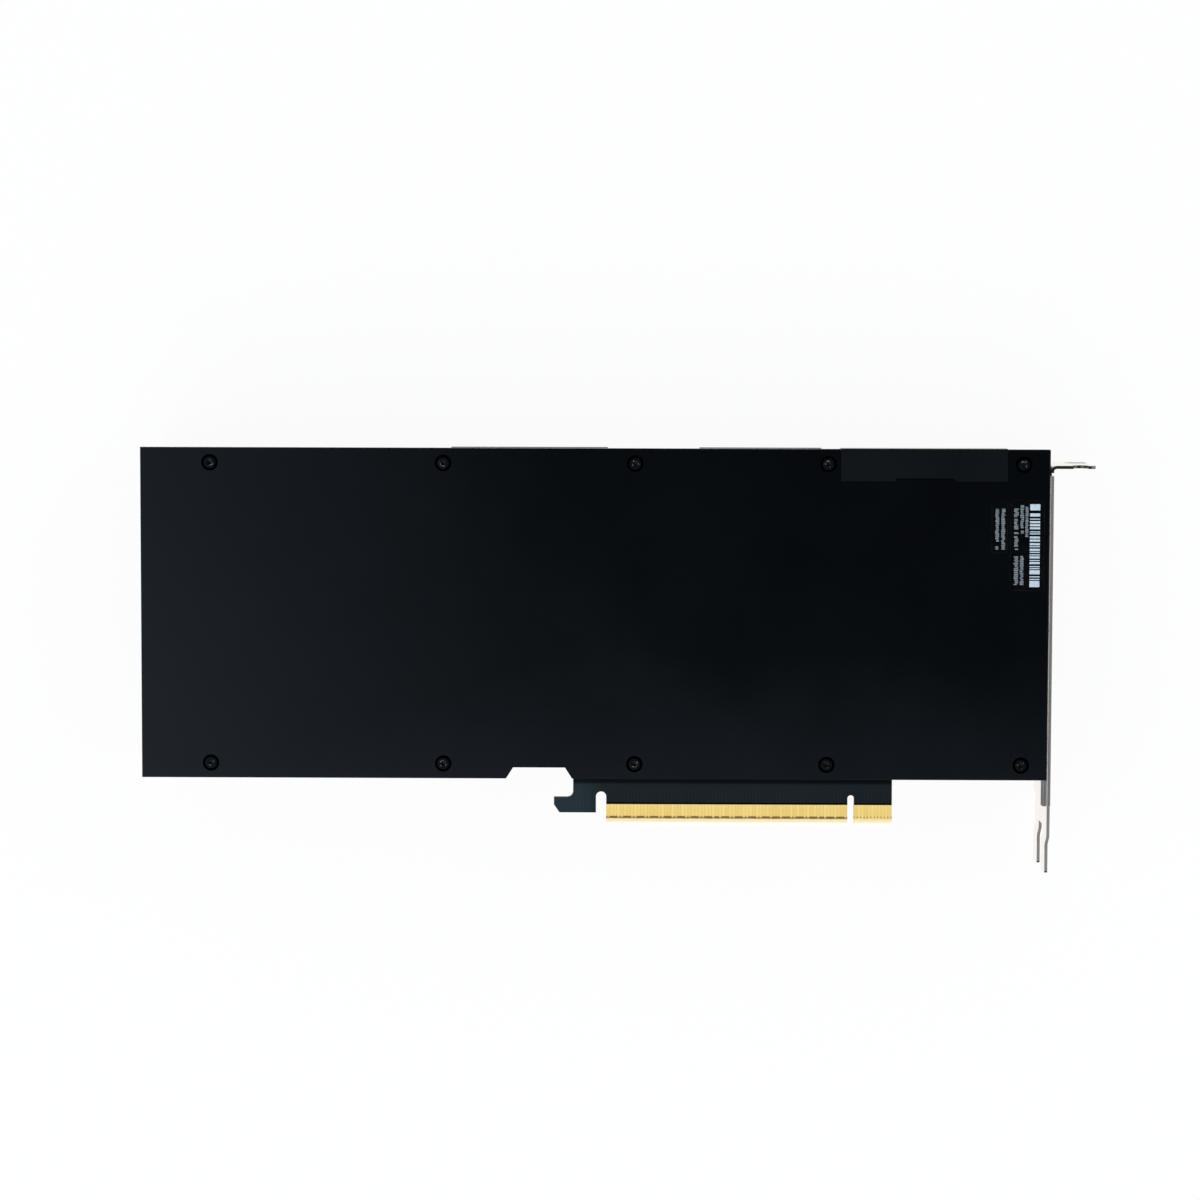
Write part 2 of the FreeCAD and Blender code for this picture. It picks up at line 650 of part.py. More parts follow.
def edge_contacts():
    """Gold contacts on both faces of the tongue."""
    solids = []
    width, skin, top = value("pad_width"), value("pad_skin"), value("pad_top")
    for face, short in ((value("solder_face"), SOLDER_SIDE_SHORT), (value("parts_face"), PARTS_SIDE_SHORT)):
        level = face if face > 0 else face - skin
        for number in range(1, EDGE_PADS + 1):
            low = value("pad_low_short") if number in short else value("pad_low")
            corner = Vector(pad_x(number) - width / 2, low, level)
            solids.append(Part.makeBox(width, top - low, skin, corner))
    feature = doc.addObject("Part::Feature", "edge_contacts")
    feature.Label = "edge_contacts"
    feature.Shape = Part.makeCompound(solids)
    return keep(feature)


def bridge_contacts():
    """Gold contacts of the bridge port, on both faces at the board's top edge."""
    pads = []
    front_start = "port_front - port_pad_start - %d * port_pitch - pad_width" % (BRIDGE_PADS - 1)
    for start in ("-port_rear + port_pad_start", front_start):
        for level in ("solder_face", "parts_face - pad_skin"):
            for number in range(BRIDGE_PADS):
                pads.append(block("bridge_pad", "%s + %d * port_pitch" % (start, number),
                                  "card_height - port_board_drop - port_pad_drop - port_pad", level,
                                  "pad_width", "port_pad", "pad_skin"))
    return group("bridge_contacts", pads)


# ---------------------------------------------------------------- backplate side


def backplate():
    """Plate with an inner pocket, screw bosses, counterbores, the hook notch and the bridge port."""
    body = new_body("backplate")
    shape = new_sketch(body, "XY_Plane", "solder_face")
    outline(shape, notched_outline("-rear_reach", "front_reach", "card_height", "0"))
    grow(body, shape, "back_height")

    pocket_depth = "back_height - back_plate"
    inner = new_sketch(body, "XY_Plane", "solder_face")
    outline(inner, notched_outline("-rear_reach + back_rim", "front_reach - back_rim",
                                   "card_height - back_rim", "back_rim"))
    cut(body, inner, pocket_depth)

    relief = new_sketch(body, "XY_Plane", "solder_face")
    rectangle(relief, "bracket_face - flange_reach - back_rim", "front_reach + %s" % PAST,
              "back_bottom - %s" % PAST, "flange_high + sheet")
    cut(body, relief, pocket_depth)

    bosses = new_sketch(body, "XY_Plane", "solder_face")
    for x, y in screw_points():
        circle(bosses, x, y, "boss_radius")
    grow(body, bosses, pocket_depth)

    through = new_sketch(body, "XY_Plane", "solder_face")
    bores = new_sketch(body, "XY_Plane", "sink_floor")
    for x, y in screw_points():
        circle(through, x, y, "screw_hole")
        circle(bores, x, y, "sink_radius")
    cut(body, through, "back_height")
    cut(body, bores, "sink_depth")

    port = new_sketch(body, "XY_Plane", "solder_face")
    low, rise = "port_low - port_gap", "port_low + step_rise - step_gap"
    above = "card_height + %s" % PAST
    outline(port, [
        ("-port_rear - port_gap", low), ("step_rear + port_gap", low), ("step_rear + port_gap", rise),
        ("step_front - port_gap", rise), ("step_front + step_rise - port_gap", low),
        ("port_front + port_gap", low), ("port_front + port_gap", above), ("-port_rear - port_gap", above),
    ])
    cut(body, port, "back_height")

    soften(body, "Chamfer", "back_chamfer", lambda edge, at: near(at.z, "back_outer")
           and (near(at.x, "-rear_reach") or near(at.x, "front_reach") or near(at.y, "back_bottom")))
    return keep(body)


def bridge_port_cover():
    """Cap of C section over the bridge contacts, with the pry step in its lower edge."""
    body = new_body("bridge_port_cover")
    top = "card_height + port_proud"
    outer, inner = "back_outer + port_lift", "back_inner"
    leg_top = "parts_face - cap_leg_gap"
    leg_low = leg_top + " - cap_wall"
    web = top + " - cap_wall"
    foot = top + " - cap_leg"
    section = new_sketch(body, "YZ_Plane", "-port_rear")
    outline(section, [
        ("port_low", inner), (web, inner), (web, leg_top), (foot, leg_top), (foot, leg_low),
        (top, leg_low), (top, outer), ("port_low", outer),
    ])
    grow(body, section, "port_front + port_rear")

    step = new_sketch(body, "XY_Plane", inner + " - %s" % PAST)
    outline(step, [
        ("step_rear", "port_low - %s" % PAST), ("step_front + step_rise + %s" % PAST, "port_low - %s" % PAST),
        ("step_front", "port_low + step_rise"), ("step_rear", "port_low + step_rise"),
    ])
    cut(body, step, "back_plate + port_lift + %s" % (2 * PAST))
    return keep(body)


def insulator_film():
    """Thin film on the backplate's inner face, cut out round the screw bosses."""
    body = new_body("insulator_film")
    margin = "back_rim + film_margin"
    shape = new_sketch(body, "XY_Plane", "back_inner - film_thickness")
    outline(shape, notched_outline("-rear_reach + " + margin, "bracket_face - flange_reach - " + margin,
                                   "card_height - port_drop - " + margin, margin))
    grow(body, shape, "film_thickness")
    holes = new_sketch(body, "XY_Plane", "back_inner - film_thickness")
    for column in SCREW_COLUMNS:
        circle(holes, column, "row_low", "boss_radius + film_margin / 2")
    cut(body, holes, "film_thickness")
    return keep(body)


def label(name, rear, front, low, high):
    sticker = block(name, rear, low, "back_outer", "%s - %s" % (front, rear), "%s - %s" % (high, low),
                    "label_thickness")
    sticker.Label = name
    doc.recompute()
    return keep(sticker)


# ---------------------------------------------------------------- mounting bracket


def mounting_bracket():
    """Folded steel: vented plate, side flange, screw tab and two joggled tongues."""
    body = new_body("mounting_bracket")
    plate = new_sketch(body, "YZ_Plane", "bracket_inner")
    rectangle(plate, "flange_low", "plate_top", "bracket_far", "bracket_near_edge")
    grow(body, plate, "sheet")

    flange = new_sketch(body, "XZ_Plane", "flange_low")
    free_end, bend_x = "bracket_face - flange_reach", "bracket_face - bend_outer"
    flange_inner = "flange_outer - sheet"
    outline(flange, [
        ("bracket_face", "bracket_near_edge"),
        (bend_x, "flange_outer", bend_x, "bracket_near_edge", 1),
        (free_end, "flange_outer"), (free_end, flange_inner), (bend_x, flange_inner),
        ("bracket_inner", "bracket_near_edge", bend_x, "bracket_near_edge", -1),
    ])
    grow(body, flange, "flange_high - flange_low")

    tab = new_sketch(body, "XY_Plane", "bracket_far")
    tab_x = "bracket_face + tab_bend"
    outline(tab, [
        ("bracket_face", "plate_top", tab_x, "plate_top", 1), ("bracket_inner", "plate_top"),
        (tab_x, "tab_top", tab_x, "plate_top", -1),
        ("bracket_face + tab_reach", "tab_top"), ("bracket_face + tab_reach", "tab_top - sheet"),
        (tab_x, "tab_top - sheet"),
    ])
    grow(body, tab, "tab_near - bracket_far")

    for number in range(2):
        low_side = "-tongue_centre - %d * slot_pitch - tongue_width / 2" % number
        tongue = new_sketch(body, "XY_Plane", low_side)
        outline(tongue, [
            ("bracket_inner", "flange_low"), ("bracket_inner", "-joggle_high"),
            ("bracket_inner - tongue_joggle", "-joggle_low"), ("bracket_inner - tongue_joggle", "-tongue_tip"),
            ("bracket_face - tongue_joggle", "-tongue_tip"), ("bracket_face - tongue_joggle", "-joggle_low"),
            ("bracket_face", "-joggle_high"), ("bracket_face", "flange_low"),
        ])
        grow(body, tongue, "tongue_width")

    web = new_sketch(body, "YZ_Plane", "bracket_inner")
    rectangle(web, "-web_low", "flange_low", "-tongue_centre - slot_pitch", "-tongue_centre")
    grow(body, web, "sheet")

    reliefs = new_sketch(body, "YZ_Plane", "bracket_inner")
    for side, inner, outer in ((1, "bracket_near_edge", PAST), (-1, "bracket_far", -PAST)):
        rectangle(reliefs, "flange_high", "flange_high + relief_width", "%s - (%d) * relief_depth" % (inner, side),
                  "%s + (%s)" % (inner, outer))
    cut(body, reliefs, "sheet")

    notches = new_sketch(body, "XZ_Plane", "plate_top")
    radius, centre_x = "tab_slot / 2", "bracket_face + tab_slot_out"
    first_z = "tab_near - tab_slot_deep + tab_slot / 2"
    second_z = first_z + " - slot_pitch"
    left, right = centre_x + " - " + radius, centre_x + " + " + radius
    beyond_z, beyond_x = "tab_near + %s" % PAST, "bracket_face + tab_reach + %s" % PAST
    outline(notches, [(left, beyond_z), (left, first_z), (right, first_z, centre_x, first_z, 1),
                      (right, beyond_z)])
    outline(notches, [
        (beyond_x, second_z + " + " + radius), (centre_x, second_z + " + " + radius),
        (centre_x, second_z + " - " + radius, centre_x, second_z, 1), (beyond_x, second_z + " - " + radius),
    ])
    cut(body, notches, "tab_top - plate_top + %s" % PAST)

    column_pitch = "vent_pitch * sqrt(3)"
    columns = fitting("vent_high - vent_low", "vent_across * 2 / sqrt(3)", column_pitch)
    rows = fitting("deck_low - cover_inner", "vent_across", "vent_pitch")
    for odd in range(2):
        last_column, last_row = columns - 1 - odd, rows - 1 - odd
        vents = new_sketch(body, "YZ_Plane", "bracket_inner")
        hexagon(vents, "(vent_low + vent_high) / 2 - %d / 2 * %s" % (last_column, column_pitch),
                "(deck_low + cover_inner) / 2 + %d / 2 * vent_pitch" % last_row, "vent_across")
        first = cut(body, vents, "sheet")
        pattern = body.newObject("PartDesign::LinearPattern", "vent_grid")
        pattern.Originals = [first]
        pattern.Direction = (vents, ["H_Axis"])
        pattern.Occurrences = last_column + 1
        tie(pattern, "Length", "%d * %s" % (last_column, column_pitch))
        pattern.Direction2 = (vents, ["V_Axis"])
        pattern.Reversed2 = True
        pattern.Occurrences2 = last_row + 1
        tie(pattern, "Length2", "%d * vent_pitch" % last_row)
        finish(body, pattern)

    holes = new_sketch(body, "YZ_Plane", "bracket_inner")
    for y, z in bracket_screw_points():
        circle(holes, y, z, "screw_hole")
    cut(body, holes, "sheet")
    soften(body, "Chamfer", "countersink", lambda edge, at: is_mouth(edge, at, "x", "bracket_face"))
    soften(body, "Fillet", "tab_corner",
           lambda edge, at: near(at.x, "bracket_face + tab_reach") and near(at.y, "tab_top - sheet / 2")
           and (near(at.z, "bracket_far") or near(at.z, "tab_near")))
    soften(body, "Fillet", "tongue_corner", lambda edge, at: near(at.y, "-tongue_tip")
           and near(at.x, "bracket_face - tongue_joggle - sheet / 2"))
    soften(body, "Fillet", "flange_corner", lambda edge, at: upright(edge) and near(at.x, free_end)
           and (near(at.y, "flange_low") or near(at.y, "flange_high")))
    return keep(body)


def is_mouth(edge, at, axis, level):
    """Whether an edge is the rim of a screw hole in the plane at a level of an axis."""
    round_edge = edge.Curve.TypeId == "Part::GeomCircle"
    return round_edge and near(edge.Curve.Radius, "screw_hole") and near(getattr(at, axis), level)


def bracket_screw_points():
    """Centres (y, z) of the screws from the bracket into the frame's front pillars."""
    points = []
    for low in FRONT_PILLARS:
        for part in BRACKET_SCREW_PARTS:
            points.append((low + " + pillar / 2", "deck_low + %s * (cover_inner - deck_low)" % part))
    return points


# ---------------------------------------------------------------- frame and cover


def base_frame():
    """Cast frame on the board's parts side: deck, walls, screw posts, end pillars."""
    body = new_body("base_frame")
    edge = new_sketch(body, "XY_Plane", "deck_top")
    outline(edge, notched_outline("outline_rear", "bracket_inner", "board_top", "edge_inset"))
    grow(body, edge, "clearance_height")

    strips = new_sketch(body, "XY_Plane", "deck_top")
    for start, end in (("rear_start", "rear_end"), ("front_start", "front_end")):
        rectangle(strips, "-strip_" + start, "-strip_" + end, "board_top - frame_wall",
                  "card_height + strip_proud")
    grow(body, strips, "clearance_height")

    rebate = new_sketch(body, "XY_Plane", "deck_low")
    outline(rebate, notched_outline("outline_rear", "bracket_inner", "cover_top - rebate",
                                    "edge_inset + rebate"))
    grow(body, rebate, "deck_top - deck_low")

    hollow = new_sketch(body, "XY_Plane", "deck_top")
    outline(hollow, notched_outline("outline_rear + frame_wall", "bracket_inner - frame_wall",
                                    "board_top - frame_wall", "edge_inset + frame_wall"))
    cut(body, hollow, "clearance_height")

    port = new_sketch(body, "XY_Plane", "parts_face - cap_leg_gap - cap_wall - port_gap")
    rectangle(port, "-port_rear - 2 * port_gap", "port_front + 2 * port_gap",
              "card_height + port_proud - cap_leg - port_gap", "card_height + %s" % PAST)
    cut(body, port, "cap_leg_gap + cap_wall + port_gap")

    window = new_sketch(body, "XY_Plane", "deck_low")
    rectangle(window, "-chip_x - window_half", "-chip_x + window_half", "chip_y - window_half_y",
              "chip_y + window_half_y")
    cut(body, window, "deck")

    bay = new_sketch(body, "XY_Plane", "deck_low")
    rectangle(bay, "outline_rear - %s" % PAST, pin_tail_x(1) + " + pin_side / 2 + bay_gap",
              "plug_low - bay_gap", "plug_high + bay_gap")
    cut(body, bay, "parts_face - deck_low")

    posts = new_sketch(body, "XY_Plane", "deck_top")
    for x, y in screw_points():
        circle(posts, x, y, "frame_post")
    grow(body, posts, "clearance_height")

    front = new_sketch(body, "XY_Plane", "cover_inner")
    for low in FRONT_PILLARS:
        rectangle(front, "bracket_inner - pillar", "bracket_inner", low, low + " + pillar")
    grow(body, front, "deck_top - cover_inner")
    rear = new_sketch(body, "XY_Plane", "cover_inner")
    for low in REAR_PILLARS:
        rectangle(rear, "outline_rear", "outline_rear + pillar", low, low + " + pillar")
    grow(body, rear, "deck_top - cover_inner")

    taps = new_sketch(body, "XY_Plane", "deck_top")
    for x, y in screw_points():
        circle(taps, x, y, "screw_tap")
    cut(body, taps, "clearance_height")
    ends = new_sketch(body, "XY_Plane", "cover_inner")
    for x, y in cover_screw_points():
        circle(ends, x, y, "screw_tap")
    cut(body, ends, "flat_length - cover_plate + tap_spare")
    sides = new_sketch(body, "YZ_Plane", "bracket_inner - flat_length + sheet - tap_spare")
    for y, z in bracket_screw_points():
        circle(sides, y, z, "screw_tap")
    cut(body, sides, "flat_length")
    support = new_sketch(body, "YZ_Plane", "outline_rear")
    for low in REAR_PILLARS:
        circle(support, low + " + pillar / 2", "-rear_tap_level", "rear_tap_radius")
    cut(body, support, "rear_tap_depth")
    return keep(body)


def cover_screw_points():
    """Centres (x, y) of the screws from the front cover into the frame's four pillars."""
    points = [("bracket_inner - pillar / 2 - cover_screw_shift", low + " + pillar / 2") for low in FRONT_PILLARS]
    points += [("outline_rear + pillar / 2 + cover_screw_shift", low + " + pillar / 2") for low in REAR_PILLARS]
    return points


def front_cover():
    """Tray over the heatsink, open at both ends for the air that is blown through."""
    body = new_body("front_cover")
    front_end = "bracket_inner - cover_end_gap"
    shape = new_sketch(body, "XY_Plane", "cover_outer")
    outline(shape, notched_outline("outline_rear", front_end, "cover_top", "edge_inset"))
    grow(body, shape, "deck_top - cover_outer")

    soften(body, "Chamfer", "cover_chamfer",
           lambda edge, at: near(at.z, "cover_outer") and (near(at.y, "cover_top") or near(at.y, "outline_bottom")))

    hollow = new_sketch(body, "XY_Plane", "cover_inner")
    outline(hollow, notched_outline("outline_rear - %s" % PAST, front_end + " + %s" % PAST,
                                    "cover_top - cover_wall", "edge_inset + cover_wall"))
    cut(body, hollow, "deck_top - cover_inner")

    holes = new_sketch(body, "XY_Plane", "cover_outer")
    for x, y in cover_screw_points():
        circle(holes, x, y, "screw_hole")
    cut(body, holes, "cover_plate")
    soften(body, "Chamfer", "countersink",
           lambda edge, at: is_mouth(edge, at, "z", "cover_outer"))
    return keep(body)


# ---------------------------------------------------------------- heatsink and processor


def heatsink_base_plate():
    """Base plate on the frame's deck, with the pedestal that reaches the processor."""
    body = new_body("heatsink_base")
    plate = new_sketch(body, "XY_Plane", "base_low")
    rectangle(plate, "-heatsink_rear", "heatsink_front", "heatsink_low", "heatsink_high")
    grow(body, plate, "heatsink_base")
    pedestal = new_sketch(body, "XY_Plane", "deck_low")
    rectangle(pedestal, "-chip_x - pedestal_half", "-chip_x + pedestal_half", "chip_y - pedestal_half",
              "chip_y + pedestal_half")
    grow(body, pedestal, "die_top - paste - deck_low")
    taps = new_sketch(body, "XY_Plane", "base_low + blind_floor")
    for x, y in hold_points():
        circle(taps, x, y, "screw_tap")
    cut(body, taps, "heatsink_base")
    return keep(body)


def heatsink_fins():
    """Folded fins of C section, soldered to the base plate, along the air's way."""
    body = new_body("heatsink_fins")
    body.AllowCompound = True
    fin = new_sketch(body, "YZ_Plane", "-heatsink_rear")
    start, end = "heatsink_low", "cover_inner + fin_end_gap"
    lip = "heatsink_low + fin_pitch - fin_lip_gap"
    web = "heatsink_low + fin_sheet"
    outline(fin, [
        (start, end), (lip, end), (lip, end + " + fin_sheet"), (web, end + " + fin_sheet"),
        (web, "base_low - fin_sheet"), (lip, "base_low - fin_sheet"), (lip, "base_low"), (start, "base_low"),
    ])
    first = grow(body, fin, "heatsink_front + heatsink_rear")
    pattern = body.newObject("PartDesign::LinearPattern", "fin_row")
    pattern.Originals = [first]
    pattern.Direction = (fin, ["H_Axis"])
    span = value("heatsink_high") - value("heatsink_low")
    pattern.Occurrences = int(span / value("fin_pitch"))
    tie(pattern, "Length", "%d * fin_pitch" % (pattern.Occurrences - 1))
    finish(body, pattern)
    return keep(body)


def centred_block(label, half_x, half_y, level, height):
    part = block(label, "-chip_x - (%s)" % half_x, "chip_y - (%s)" % half_y, level, "2 * (%s)" % half_x,
                 "2 * (%s)" % half_y, height)
    part.Label = label
    doc.recompute()
    return part


def processor():
    """Substrate on the board, with the stiffener ring, the die and the memory stacks on it."""
    face = "parts_face - substrate_height"
    keep(centred_block("processor_substrate", "substrate_side / 2", "substrate_side / 2", face,
                       "substrate_height"))
    keep(centred_block("processor_die", "die_length / 2", "die_width / 2", "die_top", "die_height"))
    outer = centred_block("stiffener_outer", "substrate_side / 2", "substrate_side / 2",
                          face + " - stiffener_height", "stiffener_height")
    inner = centred_block("stiffener_inner", "substrate_side / 2 - stiffener_width",
                          "substrate_side / 2 - stiffener_width",
                          face + " - stiffener_height - %s" % PAST, "stiffener_height + %s" % (2 * PAST))
    ring = doc.addObject("Part::Cut", "package_stiffener")
    ring.Label = "package_stiffener"
    ring.Base, ring.Tool = outer, inner
    doc.recompute()
    keep(ring)
    stacks = []
    for side in ("-chip_x - die_length / 2 - stack_gap - stack_length", "-chip_x + die_length / 2 + stack_gap"):
        for row in (-1, 1):
            stacks.append(block("memory_stack", side, "chip_y + %s * stack_pitch / 2 - stack_width / 2" % row,
                                "die_top", "stack_length", "stack_width", "die_height"))
    group("memory_stacks", stacks)


def retention_plate():
    """Spring plate on the solder side that the heatsink screws pull against."""
    body = new_body("retention_plate")
    plate = new_sketch(body, "XY_Plane", "solder_face")
    for change in ("+ hold_edge", "- hold_rib"):
        reach_x, reach_y = "(hold_half %s)" % change, "(hold_half_y %s)" % change
        rectangle(plate, "-chip_x - " + reach_x, "-chip_x + " + reach_x, "chip_y - " + reach_y,
                  "chip_y + " + reach_y)
    for x, y in hold_points():
        circle(plate, x, y, "screw_hole")
    grow(body, plate, "hold_plate")
    soften(body, "Chamfer", "countersink",
           lambda edge, at: is_mouth(edge, at, "z", "solder_face + hold_plate"))
    return keep(body)


def heatsink_spacers():
    """Tubes between the board and the heatsink's base round its screws."""
    tubes = []
    for x, y in hold_points():
        outer = doc.addObject("Part::Cylinder", "spacer_outer")
        inner = doc.addObject("Part::Cylinder", "spacer_bore")
        for cylinder, radius in ((outer, "spacer_radius"), (inner, "screw_hole")):
            tie(cylinder, "Radius", radius)
            tie(cylinder, "Height", "parts_face - deck_low")
            for axis, formula in zip("xyz", (x, y, "deck_low")):
                tie(cylinder, "Placement.Base." + axis, formula)
        tube = doc.addObject("Part::Cut", "spacer")
        tube.Base, tube.Tool = outer, inner
        tubes.append(tube)
    return group("heatsink_spacers", tubes)


# ---------------------------------------------------------------- small parts on the board


def power_parts():
    """Inductors, power stages, capacitors and the thermal pads that tie them to the deck."""
    coils, stages, pads, bulk = [], [], [], []
    for side, column in ((-1, "coil_column_rear"), (1, "coil_column_front")):
        for number in range(COILS):
            middle = "chip_y + %s * coil_pitch" % (number - (COILS - 1) / 2)
            low = middle + " - coil_side / 2"
            coil_x = "-%s - coil_side / 2" % column
            coils.append(block("coil", coil_x, low, "parts_face - coil_height", "coil_side", "coil_side",
                               "coil_height"))
            pads.append(block("pad", coil_x, low, "deck_top", "coil_side", "coil_side",
                              "clearance_height - coil_height"))
            reach = "coil_side / 2 + stage_gap" if side < 0 else "-coil_side / 2 - stage_gap - stage_side"
            stages.append(block("stage", "-%s + %s" % (column, reach), middle + " - stage_side / 2",
                                "parts_face - stage_height", "stage_side", "stage_side", "stage_height"))
        for number in range(BULKS):
            middle = "chip_y + %s * bulk_pitch" % (number - (BULKS - 1) / 2)
            reach = "-coil_side / 2 - bulk_gap - bulk_length" if side < 0 else "coil_side / 2 + bulk_gap"
            bulk.append(block("bulk", "-%s + %s" % (column, reach), middle + " - bulk_width / 2",
                              "parts_face - bulk_height", "bulk_length", "bulk_width", "bulk_height"))
    group("power_inductors", coils)
    group("power_stages", stages)
    group("thermal_pads", pads)
    group("bulk_capacitors", bulk)
    chips = []
    for x, y, size in CHIPS:
        chips.append(block("chip", x, y, "parts_face - stage_height", size, size, "stage_height"))
    group("support_chips", chips)


# ---------------------------------------------------------------- power connector


def pin_tail_x(row):
    """Middle of a pin's tail: the deeper row's tails stand further back."""
    return "plug_face + plug_length + pin_set_back + %d * plug_pitch / 2" % row


def power_connector():
    """Right-angle eight-way header on the board's parts side, mouth at the card's rear end."""
    body = new_body("power_connector_housing")
    shell = new_sketch(body, "YZ_Plane", "plug_face")
    rectangle(shell, "plug_low", "plug_high", "parts_face - plug_side_height", "parts_face")
    grow(body, shell, "plug_length")
    mouths = new_sketch(body, "YZ_Plane", "plug_face")
    for y, z in plug_cells():
        half = "plug_cell / 2"
        rectangle(mouths, "%s - %s" % (y, half), "%s + %s" % (y, half), "%s - %s" % (z, half),
                  "%s + %s" % (z, half))
    cut(body, mouths, "plug_length - plug_floor")
    latch = new_sketch(body, "XZ_Plane", "(plug_low + plug_high - latch_width) / 2")
    top, ramp_end = "parts_face - plug_side_height", "plug_face + latch_end"
    outline(latch, [("plug_face + latch_start", top), (ramp_end, top), (ramp_end, top + " - latch_rise")])
    grow(body, latch, "latch_width")
    sockets = new_sketch(body, "YZ_Plane", "plug_face + plug_length - plug_floor")
    for y, z in plug_cells():
        half = "pin_side / 2"
        rectangle(sockets, "%s - %s" % (y, half), "%s + %s" % (y, half), "%s - %s" % (z, half),
                  "%s + %s" % (z, half))
    cut(body, sockets, "plug_floor")
    keep(body)

    pins = []
    for way, (y, z) in enumerate(plug_cells()):
        half = "pin_side / 2"
        tail = pin_tail_x(way % 2)
        blade = block("blade", "plug_face + pin_mouth", "%s - %s" % (y, half), "%s - %s" % (z, half),
                      "%s + %s - plug_face - pin_mouth" % (tail, half), "pin_side", "pin_side")
        foot = block("tail", "%s - %s" % (tail, half), "%s - %s" % (y, half), "%s - %s" % (z, half),
                     "pin_side", "pin_side", "solder_face + pin_tail - (%s) + %s" % (z, half))
        pin_shape = doc.addObject("Part::Fuse", "pin")
        pin_shape.Base, pin_shape.Tool = blade, foot
        pins.append(pin_shape)
    return group("power_connector_pins", pins)


# ---------------------------------------------------------------- fasteners


def screw(label, profile, socket_level):
    """Turned screw along Z with a hexagonal drive socket in its head."""
    body = new_body(label)
    half = new_sketch(body, "XZ_Plane", "0")
    outline(half, profile)
    turned = body.newObject("PartDesign::Revolution", label + "_turned")
    turned.Profile = half
    turned.ReferenceAxis = (half, ["V_Axis"])
    turned.Angle = 360
    finish(body, turned)
    socket = new_sketch(body, "XY_Plane", "%s - socket_depth" % socket_level)
    hexagon(socket, "0", "0", "socket_across")
    cut(body, socket, "socket_depth")
    return body


def fasteners():
    pan = screw("pan_screw", [
        ("0", "-screw_length"), ("screw_shank", "-screw_length"), ("screw_shank", "0"), ("screw_head", "0"),
        ("screw_head", "screw_head_height - screw_head_edge"),
        ("screw_head - screw_head_edge", "screw_head_height"), ("0", "screw_head_height"),
    ], "screw_head_height")
    level = value("sink_floor")
    placed_copies("backplate_screws", pan,
                  [Placement(Vector(value(x), value(y), level), Rotation()) for x, y in screw_points()])

    def flat(label, length):
        return screw(label, [("0", "-" + length), ("screw_shank", "-" + length),
                             ("screw_shank", "-flat_head_height"), ("flat_head", "0"), ("0", "0")], "0")

    short = flat("flat_screw", "flat_length")
    level = value("cover_outer")
    over = Rotation(Vector(1, 0, 0), 180)
    placed_copies("front_cover_screws", short,
                  [Placement(Vector(value(x), value(y), level), over) for x, y in cover_screw_points()])
    level = value("bracket_face")
    out = Rotation(Vector(0, 1, 0), 90)
    placed_copies("bracket_screws", short,
                  [Placement(Vector(level, value(y), value(z)), out) for y, z in bracket_screw_points()])
    long = flat("hold_screw", "hold_screw_length")
    level = value("solder_face + hold_plate")
    placed_copies("heatsink_screws", long,
                  [Placement(Vector(value(x), value(y), level), Rotation()) for x, y in hold_points()])


# ---------------------------------------------------------------- the card

circuit_board()
edge_contacts()
bridge_contacts()
backplate()
bridge_port_cover()
insulator_film()
label("product_label", "label_rear", "label_front", "label_low", "label_high")
label("inspection_label", "tag_rear", "tag_front", "tag_low", "tag_high")
mounting_bracket()
base_frame()
front_cover()
heatsink_base_plate()
heatsink_fins()
processor()
retention_plate()
heatsink_spacers()
power_parts()
power_connector()
fasteners()
doc.recompute()

for item in doc.Objects:
    if "Invalid" in item.State or "Error" in item.State:
        raise RuntimeError("%s failed: %s" % (item.Label, item.State))
os.makedirs("parts", exist_ok=True)
for node in nodes:
    if node.Shape.isNull() or not node.Shape.isValid() or not node.Shape.Solids:
        raise RuntimeError(node.Label + " has no valid solid")
    node.Shape.exportStep("parts/%s.step" % node.Label)
    print("%-26s %3d solids %10.2f mm3" % (node.Label, len(node.Shape.Solids), node.Shape.Volume))
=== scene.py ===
import json
import math
import random

import bmesh
import bpy
from mathutils import Matrix, Vector


